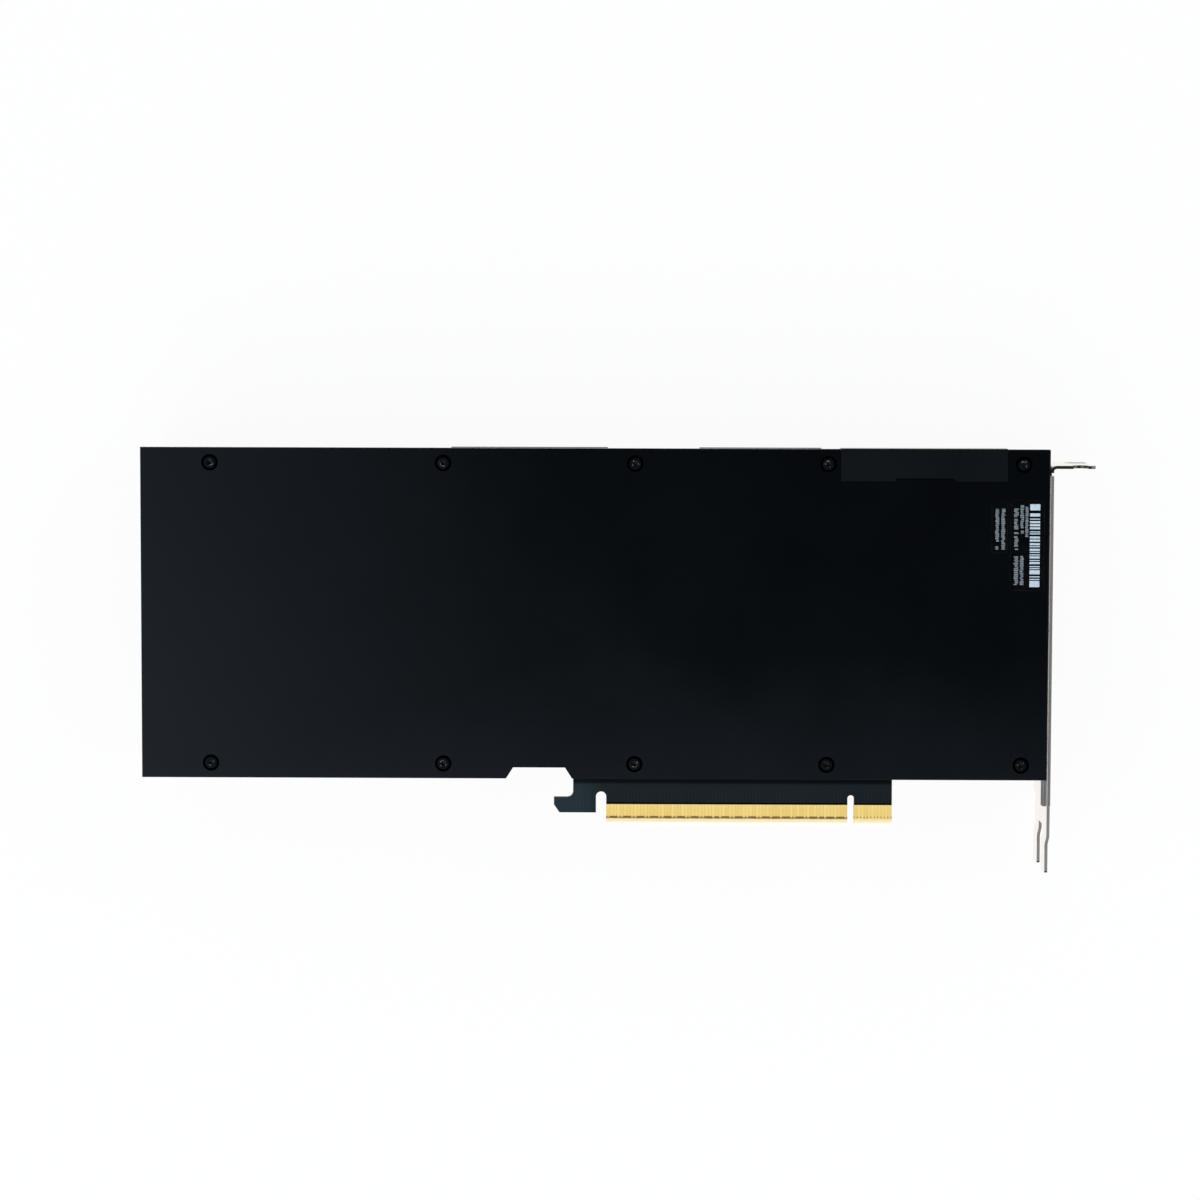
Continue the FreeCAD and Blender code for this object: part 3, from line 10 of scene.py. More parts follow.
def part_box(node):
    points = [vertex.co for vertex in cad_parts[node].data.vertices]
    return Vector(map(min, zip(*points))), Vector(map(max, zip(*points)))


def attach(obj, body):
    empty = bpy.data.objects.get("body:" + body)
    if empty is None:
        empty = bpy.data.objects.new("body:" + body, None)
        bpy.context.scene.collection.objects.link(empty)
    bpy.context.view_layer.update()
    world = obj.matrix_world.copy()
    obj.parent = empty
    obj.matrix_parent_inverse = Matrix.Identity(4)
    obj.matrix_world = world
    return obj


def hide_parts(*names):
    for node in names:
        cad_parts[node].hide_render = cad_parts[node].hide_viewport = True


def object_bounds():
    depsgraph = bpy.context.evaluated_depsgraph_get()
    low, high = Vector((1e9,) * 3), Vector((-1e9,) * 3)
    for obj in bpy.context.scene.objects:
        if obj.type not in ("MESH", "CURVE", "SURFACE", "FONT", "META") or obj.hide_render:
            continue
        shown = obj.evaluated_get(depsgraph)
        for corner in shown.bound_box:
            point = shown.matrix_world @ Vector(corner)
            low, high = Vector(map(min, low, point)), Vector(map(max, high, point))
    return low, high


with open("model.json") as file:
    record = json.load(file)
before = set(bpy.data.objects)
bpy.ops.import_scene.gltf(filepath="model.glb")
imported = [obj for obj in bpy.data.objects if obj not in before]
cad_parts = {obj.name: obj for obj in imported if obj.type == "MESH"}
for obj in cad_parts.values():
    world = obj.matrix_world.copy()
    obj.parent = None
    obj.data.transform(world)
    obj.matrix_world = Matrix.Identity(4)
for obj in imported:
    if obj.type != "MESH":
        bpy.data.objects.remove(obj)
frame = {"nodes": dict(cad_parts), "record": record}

# Finishes, screws, labels and studio for the passive accelerator card. The card lies on its front
# cover, backplate up: +X runs to the mounting bracket, +Y away from the card-edge connector, +Z out
# of the backplate. The origin is the key notch, on the lower edge of the tongue.

MM = 0.001
CARD = "root"
cad_low, cad_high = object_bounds()
scene = bpy.context.scene
nodes = frame["nodes"]


# ---------------------------------------------------------------- shader building


class Graph:
    """A node tree being wired: material, world or group."""

    def __init__(self, tree):
        self.tree = tree

    def node(self, kind, inputs=None, **settings):
        """Adds a node. An input, by name or number, is linked to a socket or set to a value."""
        made = self.tree.nodes.new(kind)
        for name, setting in settings.items():
            setattr(made, name, setting)
        for key, given in (inputs or {}).items():
            if isinstance(given, bpy.types.NodeSocket):
                self.tree.links.new(given, made.inputs[key])
            else:
                made.inputs[key].default_value = given
        return made

    def math(self, operation, first, second=0.0):
        """One sum, comparison or function of one or two values."""
        return self.node("ShaderNodeMath", {0: first, 1: second}, operation=operation).outputs[0]

    def share(self, mask, amount):
        """A mask weakened to a share of itself."""
        return self.math("MULTIPLY", mask, amount)

    def both(self, first, second):
        """Where two masks meet."""
        return self.math("MULTIPLY", first, second)

    def unless(self, mask):
        """The rest of the surface."""
        return self.math("SUBTRACT", 1.0, mask)

    def blend(self, amount, first, second):
        """Mixes two colours."""
        mixed = self.node("ShaderNodeMix", {"Factor": amount, 6: first, 7: second}, data_type="RGBA")
        return mixed.outputs[2]

    def spread(self, value, low, high, to_low=0.0, to_high=1.0):
        """Stretches a range of a value to another range, clamped at both ends."""
        limits = {0: value, 1: low, 2: high, 3: to_low, 4: to_high}
        return self.node("ShaderNodeMapRange", limits, clamp=True).outputs[0]

    def noise(self, vector, scale, detail=3.0, roughness=0.55):
        """Soft noise from 0 to 1; scale is its waves to a metre."""
        return self.node("ShaderNodeTexNoise", {"Vector": vector, "Scale": scale, "Detail": detail,
                                                "Roughness": roughness}).outputs["Fac"]

    def stretch(self, vector, scale):
        """Coordinates scaled along each axis; a scale of 0 makes a pattern the same along it."""
        return self.node("ShaderNodeMapping", {"Vector": vector, "Scale": scale}).outputs[0]

    def axes(self, vector):
        """A vector's parts along X, Y and Z."""
        return self.node("ShaderNodeSeparateXYZ", {0: vector}).outputs


def shader_group(name, inputs, outputs):
    """A shader node group with named sockets, ready to be wired."""
    tree = bpy.data.node_groups.new(name, "ShaderNodeTree")
    for socket, kind, default in inputs:
        made = tree.interface.new_socket(socket, in_out="INPUT", socket_type=kind)
        if default is not None:
            made.default_value = default
    for socket, kind in outputs:
        tree.interface.new_socket(socket, in_out="OUTPUT", socket_type=kind)
    return tree, Graph(tree), tree.nodes.new("NodeGroupInput"), tree.nodes.new("NodeGroupOutput")


def make_cloud_group():
    """Broad soft patches, as handling and coating thickness leave on a dark surface."""
    tree, graph, start, end = shader_group(
        "soft_patches", [("Vector", "NodeSocketVector", None), ("Scale", "NodeSocketFloat", 30.0),
                         ("Contrast", "NodeSocketFloat", 0.2)], [("Mask", "NodeSocketFloat")])
    broad = graph.noise(start.outputs["Vector"], start.outputs["Scale"], detail=4.0, roughness=0.6)
    low = graph.math("SUBTRACT", 0.5, start.outputs["Contrast"])
    high = graph.math("ADD", 0.5, start.outputs["Contrast"])
    tree.links.new(graph.spread(broad, low, high), end.inputs["Mask"])
    return tree


COARSE_GRAIN = 0.23  # the coarse grain's scale, to the fine grain's


def make_grain_group():
    """Fine grain of a blasted, cast or moulded surface: a height, and a speckle for the roughness."""
    tree, graph, start, end = shader_group(
        "fine_grain", [("Vector", "NodeSocketVector", None), ("Scale", "NodeSocketFloat", 6000.0),
                       ("Coarseness", "NodeSocketFloat", 0.35)],
        [("Height", "NodeSocketFloat"), ("Speckle", "NodeSocketFloat")])
    fine = graph.noise(start.outputs["Vector"], start.outputs["Scale"], detail=2.0, roughness=0.5)
    coarse_scale = graph.math("MULTIPLY", start.outputs["Scale"], COARSE_GRAIN)
    coarse = graph.noise(start.outputs["Vector"], coarse_scale, detail=3.0, roughness=0.6)
    weighted = graph.math("MULTIPLY", coarse, start.outputs["Coarseness"])
    tree.links.new(graph.math("ADD", fine, weighted), end.inputs["Height"])
    tree.links.new(graph.spread(fine, 0.35, 0.65), end.inputs["Speckle"])
    return tree


def make_brush_group():
    """Long fine lines of rolled or brushed metal, along the axis that Stretch makes small."""
    tree, graph, start, end = shader_group(
        "brushed_lines", [("Vector", "NodeSocketVector", None),
                          ("Stretch", "NodeSocketVector", (1, 40, 40)),
                          ("Scale", "NodeSocketFloat", 60.0)],
        [("Height", "NodeSocketFloat"), ("Streaks", "NodeSocketFloat")])
    factors = {0: start.outputs["Vector"], 1: start.outputs["Stretch"]}
    drawn = graph.node("ShaderNodeVectorMath", factors, operation="MULTIPLY").outputs[0]
    lines = graph.noise(drawn, start.outputs["Scale"], detail=6.0, roughness=0.7)
    tree.links.new(lines, end.inputs["Height"])
    tree.links.new(graph.spread(lines, 0.32, 0.68), end.inputs["Streaks"])
    return tree


def make_edge_group():
    """Where a surface turns over an edge, broken up as if by handling."""
    tree, graph, start, end = shader_group(
        "edge_wear", [("Vector", "NodeSocketVector", None), ("Radius", "NodeSocketFloat", 0.0002),
                      ("Breakup", "NodeSocketFloat", 900.0)], [("Mask", "NodeSocketFloat")])
    rounded = graph.node("ShaderNodeBevel", {"Radius": start.outputs["Radius"]}, samples=4).outputs[0]
    flat = graph.node("ShaderNodeNewGeometry").outputs["True Normal"]
    agree = graph.node("ShaderNodeVectorMath", {0: rounded, 1: flat}, operation="DOT_PRODUCT")
    turned = graph.spread(agree.outputs["Value"], 0.995, 0.86)
    wear_and_glint_breakup = graph.noise(start.outputs["Vector"], start.outputs["Breakup"],
                          detail=4.0, roughness=0.65)
    tree.links.new(graph.both(turned, graph.spread(wear_and_glint_breakup, 0.4, 0.62)), end.inputs["Mask"])
    return tree


SOFT_PATCHES = make_cloud_group()
FINE_GRAIN = make_grain_group()
BRUSHED_LINES = make_brush_group()
EDGE_WEAR = make_edge_group()


class Finish(Graph):
    """A material with its Principled shader, its object coordinates and the shared effects."""

    def __init__(self, name, metallic=0.0, specular=0.5, **fixed):
        self.material = bpy.data.materials.new(name)
        self.material.use_nodes = True
        super().__init__(self.material.node_tree)
        self.shader = self.tree.nodes["Principled BSDF"]
        self.shader.inputs["Metallic"].default_value = metallic
        self.shader.inputs["Specular IOR Level"].default_value = specular
        for socket, given in fixed.items():
            self.shader.inputs[socket.replace("_", " ")].default_value = given
        self.at = self.node("ShaderNodeTexCoord").outputs["Object"]

    def effect(self, group, **inputs):
        """One of the shared effects, with this finish's own values."""
        used = self.tree.nodes.new("ShaderNodeGroup")
        used.node_tree = group
        self.tree.links.new(self.at, used.inputs["Vector"])
        for name, given in inputs.items():
            used.inputs[name].default_value = given
        return used.outputs

    def facing(self):
        """The way that a face points, by its three axes."""
        return self.axes(self.node("ShaderNodeNewGeometry").outputs["True Normal"])

    def between(self, mask, rough):
        """A roughness that runs from the first to the second value of a range."""
        return self.spread(mask, 0.0, 1.0, *rough)

    def two_parts(self, first, share, second):
        """A share of one mask and the rest of another."""
        return self.math("ADD", self.share(first, share), self.share(second, 1.0 - share))

    def mirrors_little(self, mask):
        """Makes dark faces near-black metal, which mirrors far less than the coat around them."""
        self.tree.links.new(mask, self.shader.inputs["Metallic"])

    def wire(self, colour, roughness, height, bump, distance=0.02 * MM):
        """Ends a finish: bump is the strength and distance the depth of its height."""
        bumped = self.node("ShaderNodeBump", {
            "Height": height, "Strength": bump, "Distance": distance})
        for given, socket in ((colour, "Base Color"), (roughness, "Roughness"),
                              (bumped.outputs[0], "Normal")):
            self.tree.links.new(given, self.shader.inputs[socket])
        return self.material


FLAT_FACE = 0.97  # a face lies flat where its normal is more upright than this
SUNK_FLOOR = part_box("backplate")[1].z - 0.5 * MM  # the plate's flat faces below this are sinks' floors
SHEEN_SWAY = 42.0 * MM  # how far the painted sheen's edge wanders
SHEEN_REAR = -112.0 * MM, -232.0 * MM  # from none to full, along X
SHEEN_LOW = 30.0 * MM, -20.0 * MM  # from none to full, along Y


def painted_sheen(finish):
    """A painted sheen, lighter towards the card's rear end and its lower edge, as a mask."""
    place = finish.axes(finish.at)
    sway = finish.share(finish.noise(finish.at, 34.0, detail=4.0, roughness=0.6), SHEEN_SWAY)
    rear = finish.spread(finish.math("SUBTRACT", place["X"], sway), *SHEEN_REAR)
    low = finish.spread(finish.math("SUBTRACT", place["Y"], sway), *SHEEN_LOW)
    return finish.math("MAXIMUM", rear, low)


def painted_shade_faces(finish):
    """Painted shade: edges broken at a slant, and the floors of the plate's sinks, as a mask."""
    upright = finish.math("ABSOLUTE", finish.facing()["Z"])
    slant = finish.both(finish.spread(upright, 0.96, 0.88), finish.spread(upright, 0.1, 0.3))
    sunk = finish.math("LESS_THAN", finish.axes(finish.at)["Z"], SUNK_FLOOR)
    flat = finish.math("GREATER_THAN", upright, FLAT_FACE)
    return finish.math("MAXIMUM", slant, finish.both(sunk, flat))


def coated(name, dark, light, worn, rough=(0.42, 0.52), grain=6000.0, bump=0.12, wear=0.5,
           specular=0.25, sheen_colour=None, shade_colour=None):
    """Anodised, painted, oxidised or cast surface: broad patches, fine grain and paler rubbed edges.

    The sheen colour paints a lighter sheen towards the card's rear end and lower edge, and the shade
    colour paints shade on slanted edges and sunk floors.
    """
    finish = Finish(name, 0.0, specular)
    patches = finish.effect(SOFT_PATCHES, Scale=28.0, Contrast=0.22)["Mask"]
    grains = finish.effect(FINE_GRAIN, Scale=grain)
    edges = finish.effect(EDGE_WEAR, Radius=0.22 * MM)["Mask"]
    colour = finish.blend(patches, dark, light)
    # painted sheen: lighter towards the card's rear end and its lower edge
    if sheen_colour:
        colour = finish.blend(painted_sheen(finish), colour, sheen_colour)
    # painted shade: slanted edges and the plate's sink floors turn near-black metal, which mirrors little
    if shade_colour:
        mask = painted_shade_faces(finish)
        colour = finish.blend(mask, colour, shade_colour)
        finish.mirrors_little(mask)
    colour = finish.blend(finish.share(edges, wear), colour, worn)
    varied = finish.two_parts(grains["Speckle"], 0.4, patches)
    return finish.wire(colour, finish.between(varied, rough), grains["Height"], bump)


def bare(name, colour, shade, stretch=(1, 40, 40), scale=60.0, rough=(0.28, 0.42)):
    """Bare or plated metal with rolled lines along one axis."""
    finish = Finish(name, 1.0)
    lines = finish.effect(BRUSHED_LINES, Stretch=stretch, Scale=scale)
    stains = finish.effect(SOFT_PATCHES, Scale=70.0, Contrast=0.25)["Mask"]
    tint = finish.blend(lines["Streaks"], shade, colour)
    tint = finish.blend(finish.share(stains, 0.25), tint, shade)
    varied = finish.two_parts(lines["Streaks"], 0.6, stains)
    return finish.wire(tint, finish.between(varied, rough), lines["Height"], 0.08)


def moulded(name, dark, light, rough=(0.5, 0.62), grain=5000.0, bump=0.15):
    """Moulded plastic, ferrite or rubber: cloudy colour with a fine texture."""
    finish = Finish(name, 0.0, 0.4)
    clouds = finish.effect(SOFT_PATCHES, Scale=240.0, Contrast=0.3)["Mask"]
    grains = finish.effect(FINE_GRAIN, Scale=grain, Coarseness=0.6)
    edges = finish.effect(EDGE_WEAR, Radius=0.15 * MM)["Mask"]
    colour = finish.blend(clouds, dark, light)
    wear_and_glints = [min(1.0, channel * 2.2) for channel in light[:3]] + [1]
    colour = finish.blend(finish.share(edges, 0.25), colour, wear_and_glints)
    return finish.wire(colour, finish.between(grains["Speckle"], rough), grains["Height"], bump)


def grey(level, blue=1.0):
    """A grey, with its blue raised and its green halfway between."""
    return (level, level * (1 + (blue - 1) / 2), level * blue, 1)


# ---------------------------------------------------------------- finishes of single pieces

# Along Y, from the card edge up: bevel, contacts, bare margin, solder mask, the backplate's shade.
BEVEL_START = 1.68 * MM
SCORE_LINE = 2.08 * MM  # the scored line above the bevel
SCORE_WIDTH = 0.36 * MM
SCORE_WAVE = 0.34 * MM  # how far the line wanders
SCORE_CORE = 0.55  # the line's full-dark part, to its width
SCORE_STAIN = 0.85  # how far the line hides what it crosses
SHORT_CONTACT_END = 2.6 * MM
TONGUE_MASK_END = 6.02 * MM  # bare laminate ends here, above the contacts
MASK_MARGIN_END = 6.55 * MM  # solder mask starts here
PLATE_SHADE = 12.6 * MM  # painted shade on the mask from here up to the backplate
PLATE_SHADE_FADE = 0.7 * MM
WORN_TIP = 1.1 * MM, 0.1 * MM  # from none to full
CONTACT_TIPS = 4.6 * MM, 5.95 * MM  # the contacts turn paler up here
TRACES = 12.2 * MM, 9.5 * MM  # fine traces, from none to full
COPPER_PLANE = 9.6 * MM, 10.4 * MM
CONTACT_PITCH = 1.0 * MM

# Along X.
HOOK_START = -73.9 * MM  # rearwards of here the board is the retention hook
HOOK_TINT = -72.0 * MM, -80.0 * MM  # the mask turns teal
SHEET_INNER_FACE = 57.9 * MM  # past here lies the bracket's sheet, before here its flange

FLANGE_LOW = 6.2 * MM  # the bracket's tongues lie below this
TONGUE_TIPS_END = -12.0 * MM


def score_line(finish, across, along):
    """The wavy line that the bevel's cutter leaves rearwards of the notch, and all below it."""
    wave = finish.noise(finish.stretch(finish.at, (1, 0, 0)), 420.0, detail=2.0)
    top = finish.math("SUBTRACT", SCORE_LINE + SCORE_WAVE / 2, finish.share(wave, SCORE_WAVE))
    below = finish.math("LESS_THAN", along, top)
    off = finish.math("ABSOLUTE", finish.math("SUBTRACT", along, top))
    line = finish.spread(off, SCORE_WIDTH, SCORE_CORE * SCORE_WIDTH)
    return finish.both(line, finish.math("LESS_THAN", across, 0)), below


def bands(finish, scale, distortion, direction):
    """Wavy bands, for woven glass and for the layers of a cut side."""
    inputs = {"Vector": finish.at, "Scale": scale, "Distortion": distortion, "Detail": 2.0}
    return finish.node("ShaderNodeTexWave", inputs, wave_type="BANDS",
                       bands_direction=direction).outputs["Fac"]


def copper_under_mask(finish, across, along):
    """A fan of fine traces off each contact, and a plane with a soft edge above it."""
    wave = finish.math("SINE", finish.share(across, 2 * math.pi / CONTACT_PITCH))
    sway = finish.noise(finish.stretch(finish.at, (1, 0.35, 0)), 120.0, detail=2.0)
    trace = finish.spread(finish.math("ADD", wave, finish.share(sway, 1.2)), 0.9, 1.25)
    trace = finish.both(trace, finish.spread(along, *TRACES))
    plane = finish.spread(along, *COPPER_PLANE)
    return finish.math("MAXIMUM", trace, finish.share(plane, 0.8))


def bare_laminate(finish, across, along):
    """Woven glass in pale resin, brown where it was scored, fresh on the bevel and worn at its tip."""
    weave = bands(finish, 900.0, 1.5, "DIAGONAL")
    resin = finish.blend(weave, (0.78, 0.54, 0.165, 1), (0.88, 0.63, 0.215, 1))
    scored = finish.blend(weave, (0.21, 0.115, 0.012, 1), (0.28, 0.160, 0.020, 1))
    fresh = finish.blend(weave, (0.78, 0.62, 0.34, 1), (0.88, 0.74, 0.46, 1))
    fresh = finish.blend(finish.spread(along, *WORN_TIP), fresh, (0.96, 0.92, 0.80, 1))
    line, below = score_line(finish, across, along)
    colour = finish.blend(finish.math("LESS_THAN", along, SHORT_CONTACT_END), resin, scored)
    colour = finish.blend(below, colour, fresh)
    return finish.blend(finish.share(line, SCORE_STAIN), colour, (0.155, 0.085, 0.010, 1))


def board_finish():
    """Solder mask over copper, bare laminate round the contacts and on the bevel, layered sides, painted
    shade by the backplate.
    """
    finish = Finish("solder_mask_and_laminate", 0.0, 0.26)
    place = finish.axes(finish.at)
    across, along = place["X"], place["Y"]
    patches = finish.effect(SOFT_PATCHES, Scale=60.0, Contrast=0.25)["Mask"]
    grains = finish.effect(FINE_GRAIN, Scale=3500.0, Coarseness=0.8)
    copper = copper_under_mask(finish, across, along)

    tongue = finish.unless(finish.math("LESS_THAN", across, HOOK_START))
    bare_zone = finish.both(finish.math("LESS_THAN", along, TONGUE_MASK_END), tongue)
    margin = finish.both(finish.math("LESS_THAN", along, MASK_MARGIN_END), tongue)
    shaded = finish.spread(along, PLATE_SHADE - PLATE_SHADE_FADE, PLATE_SHADE)
    side = finish.math("LESS_THAN", finish.math("ABSOLUTE", finish.facing()["Z"]), 0.5)
    cut_side = finish.both(side, finish.unless(finish.math("LESS_THAN", along, BEVEL_START)))

    mask_colour = finish.blend(patches, (0.0028, 0.0048, 0.0062, 1), (0.0045, 0.0072, 0.0095, 1))
    mask_colour = finish.blend(finish.share(copper, 0.30), mask_colour, (0.010, 0.016, 0.022, 1))
    teal = finish.blend(patches, (0.0095, 0.0185, 0.0220, 1), (0.0125, 0.0235, 0.0270, 1))
    mask_colour = finish.blend(finish.spread(across, *HOOK_TINT), mask_colour, teal)
    # painted shade on the mask below the backplate's edge
    mask_colour = finish.blend(finish.share(shaded, 0.75), mask_colour, (0.0012, 0.0018, 0.0024, 1))
    colour = finish.blend(margin, mask_colour, (0.0045, 0.0026, 0.0008, 1))
    colour = finish.blend(bare_zone, colour, bare_laminate(finish, across, along))
    layers = finish.blend(bands(finish, 780.0, 0.6, "Z"),
                          (0.026, 0.030, 0.026, 1), (0.085, 0.080, 0.050, 1))
    colour = finish.blend(cut_side, colour, layers)

    bare_margin = finish.both(margin, finish.unless(bare_zone))
    # the bare margin, and the painted shade below the backplate, mirror little
    finish.mirrors_little(finish.math("MAXIMUM", bare_margin, finish.share(shaded, 0.6)))
    rough = finish.between(grains["Speckle"], (0.28, 0.35))
    rough = finish.math("ADD", rough, finish.share(bare_zone, 0.2))
    height = finish.math("ADD", finish.share(copper, 1.5), grains["Height"])
    return finish.wire(colour, rough, height, 0.25, 0.03 * MM)


def gold_finish():
    """Gold plate: each contact a shade of its own, wiped along its length."""
    finish = Finish("gold_plate", 0.35)
    place = finish.axes(finish.at)
    own = finish.math("FLOOR", finish.math("DIVIDE", place["X"], CONTACT_PITCH))
    shade = finish.node("ShaderNodeTexWhiteNoise", {"W": own}, noise_dimensions="1D").outputs["Value"]
    wiped = finish.effect(BRUSHED_LINES, Stretch=(30, 1, 30), Scale=400.0)
    tone = finish.two_parts(shade, 0.5, wiped["Streaks"])
    colour = finish.blend(tone, (0.84, 0.57, 0.145, 1), (0.98, 0.73, 0.25, 1))
    tip = finish.spread(place["Y"], *CONTACT_TIPS)
    colour = finish.blend(finish.share(tip, 0.30), colour, (0.96, 0.84, 0.48, 1))
    line, _ = score_line(finish, place["X"], place["Y"])
    colour = finish.blend(finish.share(line, SCORE_STAIN), colour, (0.36, 0.225, 0.075, 1))
    return finish.wire(colour, finish.between(tone, (0.46, 0.56)), wiped["Height"], 0.1)


def bracket_finish():
    """Nickel-plated sheet: bright rolled faces, painted shade on its bends, painted warm light on its
    flange, near-black cut edges.
    """
    finish = Finish("nickel_plated_steel", 1.0)
    lines = finish.effect(BRUSHED_LINES, Stretch=(30, 1, 30), Scale=70.0)
    stains = finish.effect(SOFT_PATCHES, Scale=70.0, Contrast=0.25)["Mask"]
    facing = finish.facing()
    place = finish.axes(finish.at)
    upright = finish.math("ABSOLUTE", facing["Z"])
    level = finish.math("ABSOLUTE", facing["X"])

    flat = finish.math("GREATER_THAN", upright, FLAT_FACE)
    sheet = finish.math("GREATER_THAN", place["X"], SHEET_INNER_FACE)
    sheared = finish.both(flat, sheet)
    flange = finish.both(flat, finish.unless(sheet))
    tongues = finish.math("LESS_THAN", place["Y"], FLANGE_LOW)
    tip = finish.both(finish.math("LESS_THAN", facing["Y"], -0.15),
                      finish.math("LESS_THAN", place["Y"], TONGUE_TIPS_END))
    # near-black on the sheet's cut edges above the tongues, and on the tongues' tips
    near_black_edges = finish.math("MAXIMUM", finish.both(sheared, finish.unless(tongues)), tip)
    worn_edge = finish.both(sheared, tongues)
    bent = finish.both(finish.spread(upright, 0.05, 0.30), finish.spread(level, 0.03, 0.20))

    colour = finish.blend(lines["Streaks"], (0.62, 0.57, 0.53, 1), (0.76, 0.70, 0.65, 1))
    for mask, share, paint in ((stains, 0.25, (0.50, 0.47, 0.44, 1)),
                               # painted shade on the bends
                               (bent, 0.90, (0.098, 0.093, 0.088, 1)),
                               # painted light: a lighter, warmer tint on the flange's faces
                               (flange, 0.90, (0.97, 0.82, 0.72, 1)),
                               (worn_edge, 0.75, (0.22, 0.212, 0.205, 1)),
                               (near_black_edges, 1.0, (0.035, 0.033, 0.031, 1))):
        colour = finish.blend(finish.share(mask, share), colour, paint)
    rough = finish.between(lines["Streaks"], (0.20, 0.30))
    rough = finish.math("ADD", rough, finish.share(finish.math("MAXIMUM", bent, sheared), 0.25))
    return finish.wire(colour, rough, lines["Height"], 0.05)


def screw_finish():
    """Black oxide, with painted glints round the edge of the drive socket and painted shade on steep
    faces.
    """
    finish = Finish("black_oxide_steel", 0.0, 0.14)
    patches = finish.effect(SOFT_PATCHES, Scale=900.0, Contrast=0.22)["Mask"]
    grains = finish.effect(FINE_GRAIN, Scale=9000.0)
    upright = finish.math("ABSOLUTE", finish.facing()["Z"])
    broken_edge = finish.both(finish.math("GREATER_THAN", upright, 0.60),
                              finish.math("LESS_THAN", upright, 0.79))
    # painted glints on the socket's broken edge, in patches at random
    wear_and_glint_breakup = finish.noise(finish.at, 1100.0, detail=1.0)
    wear_and_glints = finish.both(broken_edge, finish.spread(wear_and_glint_breakup, 0.55, 0.66))
    steep = finish.both(finish.math("LESS_THAN", upright, 0.9), finish.unless(broken_edge))
    colour = finish.blend(patches, (0.0008, 0.0012, 0.0015, 1), (0.0018, 0.0024, 0.0030, 1))
    colour = finish.blend(wear_and_glints, colour, (0.28, 0.28, 0.31, 1))
    # painted shade: the head's steep faces turn near-black metal, which mirrors little
    finish.mirrors_little(steep)
    return finish.wire(colour, finish.between(grains["Speckle"], (0.26, 0.36)), grains["Height"], 0.08)


def film_finish():
    """Glossy clear label film with a faint milky rim."""
    finish = Finish("clear_label_film", 0.0, 0.4, Alpha=0.30)
    ripple = finish.noise(finish.at, 350.0)
    smear = finish.effect(SOFT_PATCHES, Scale=180.0, Contrast=0.2)["Mask"]
    edges = finish.effect(EDGE_WEAR, Radius=0.25 * MM, Breakup=300.0)["Mask"]
    colour = finish.blend(smear, (0.003, 0.003, 0.004, 1), (0.007, 0.007, 0.008, 1))
    colour = finish.blend(edges, colour, (0.10, 0.11, 0.12, 1))
    return finish.wire(colour, finish.between(smear, (0.16, 0.26)), ripple, 0.08, 0.05 * MM)


def ink_finish(name, colour, faded):
    """Thermal-printed ink, a little uneven."""
    finish = Finish(name, 0.0, 0.3)
    dots = finish.noise(finish.at, 2600.0, detail=2.0)
    fade = finish.effect(SOFT_PATCHES, Scale=120.0, Contrast=0.25)["Mask"]
    tone = finish.both(finish.spread(dots, 0.3, 0.6), finish.between(fade, (0.75, 1.0)))
    rough = finish.spread(dots, 0.3, 0.7, 0.35, 0.55)
    return finish.wire(finish.blend(tone, faded, colour), rough, dots, 0.05)


def silicon_finish():
    """Polished dies with a faint grid of blocks showing through."""
    finish = Finish("polished_silicon", 0.4)
    grid = {"Vector": finish.at, "Scale": 420.0}
    blocks = finish.node("ShaderNodeTexVoronoi", grid, distance="MANHATTAN").outputs["Color"]
    tone = finish.node("ShaderNodeSeparateColor", {0: blocks}).outputs[0]
    colour = finish.blend(tone, (0.050, 0.052, 0.062, 1), (0.085, 0.085, 0.100, 1))
    return finish.wire(colour, finish.between(tone, (0.10, 0.20)), tone, 0.05)


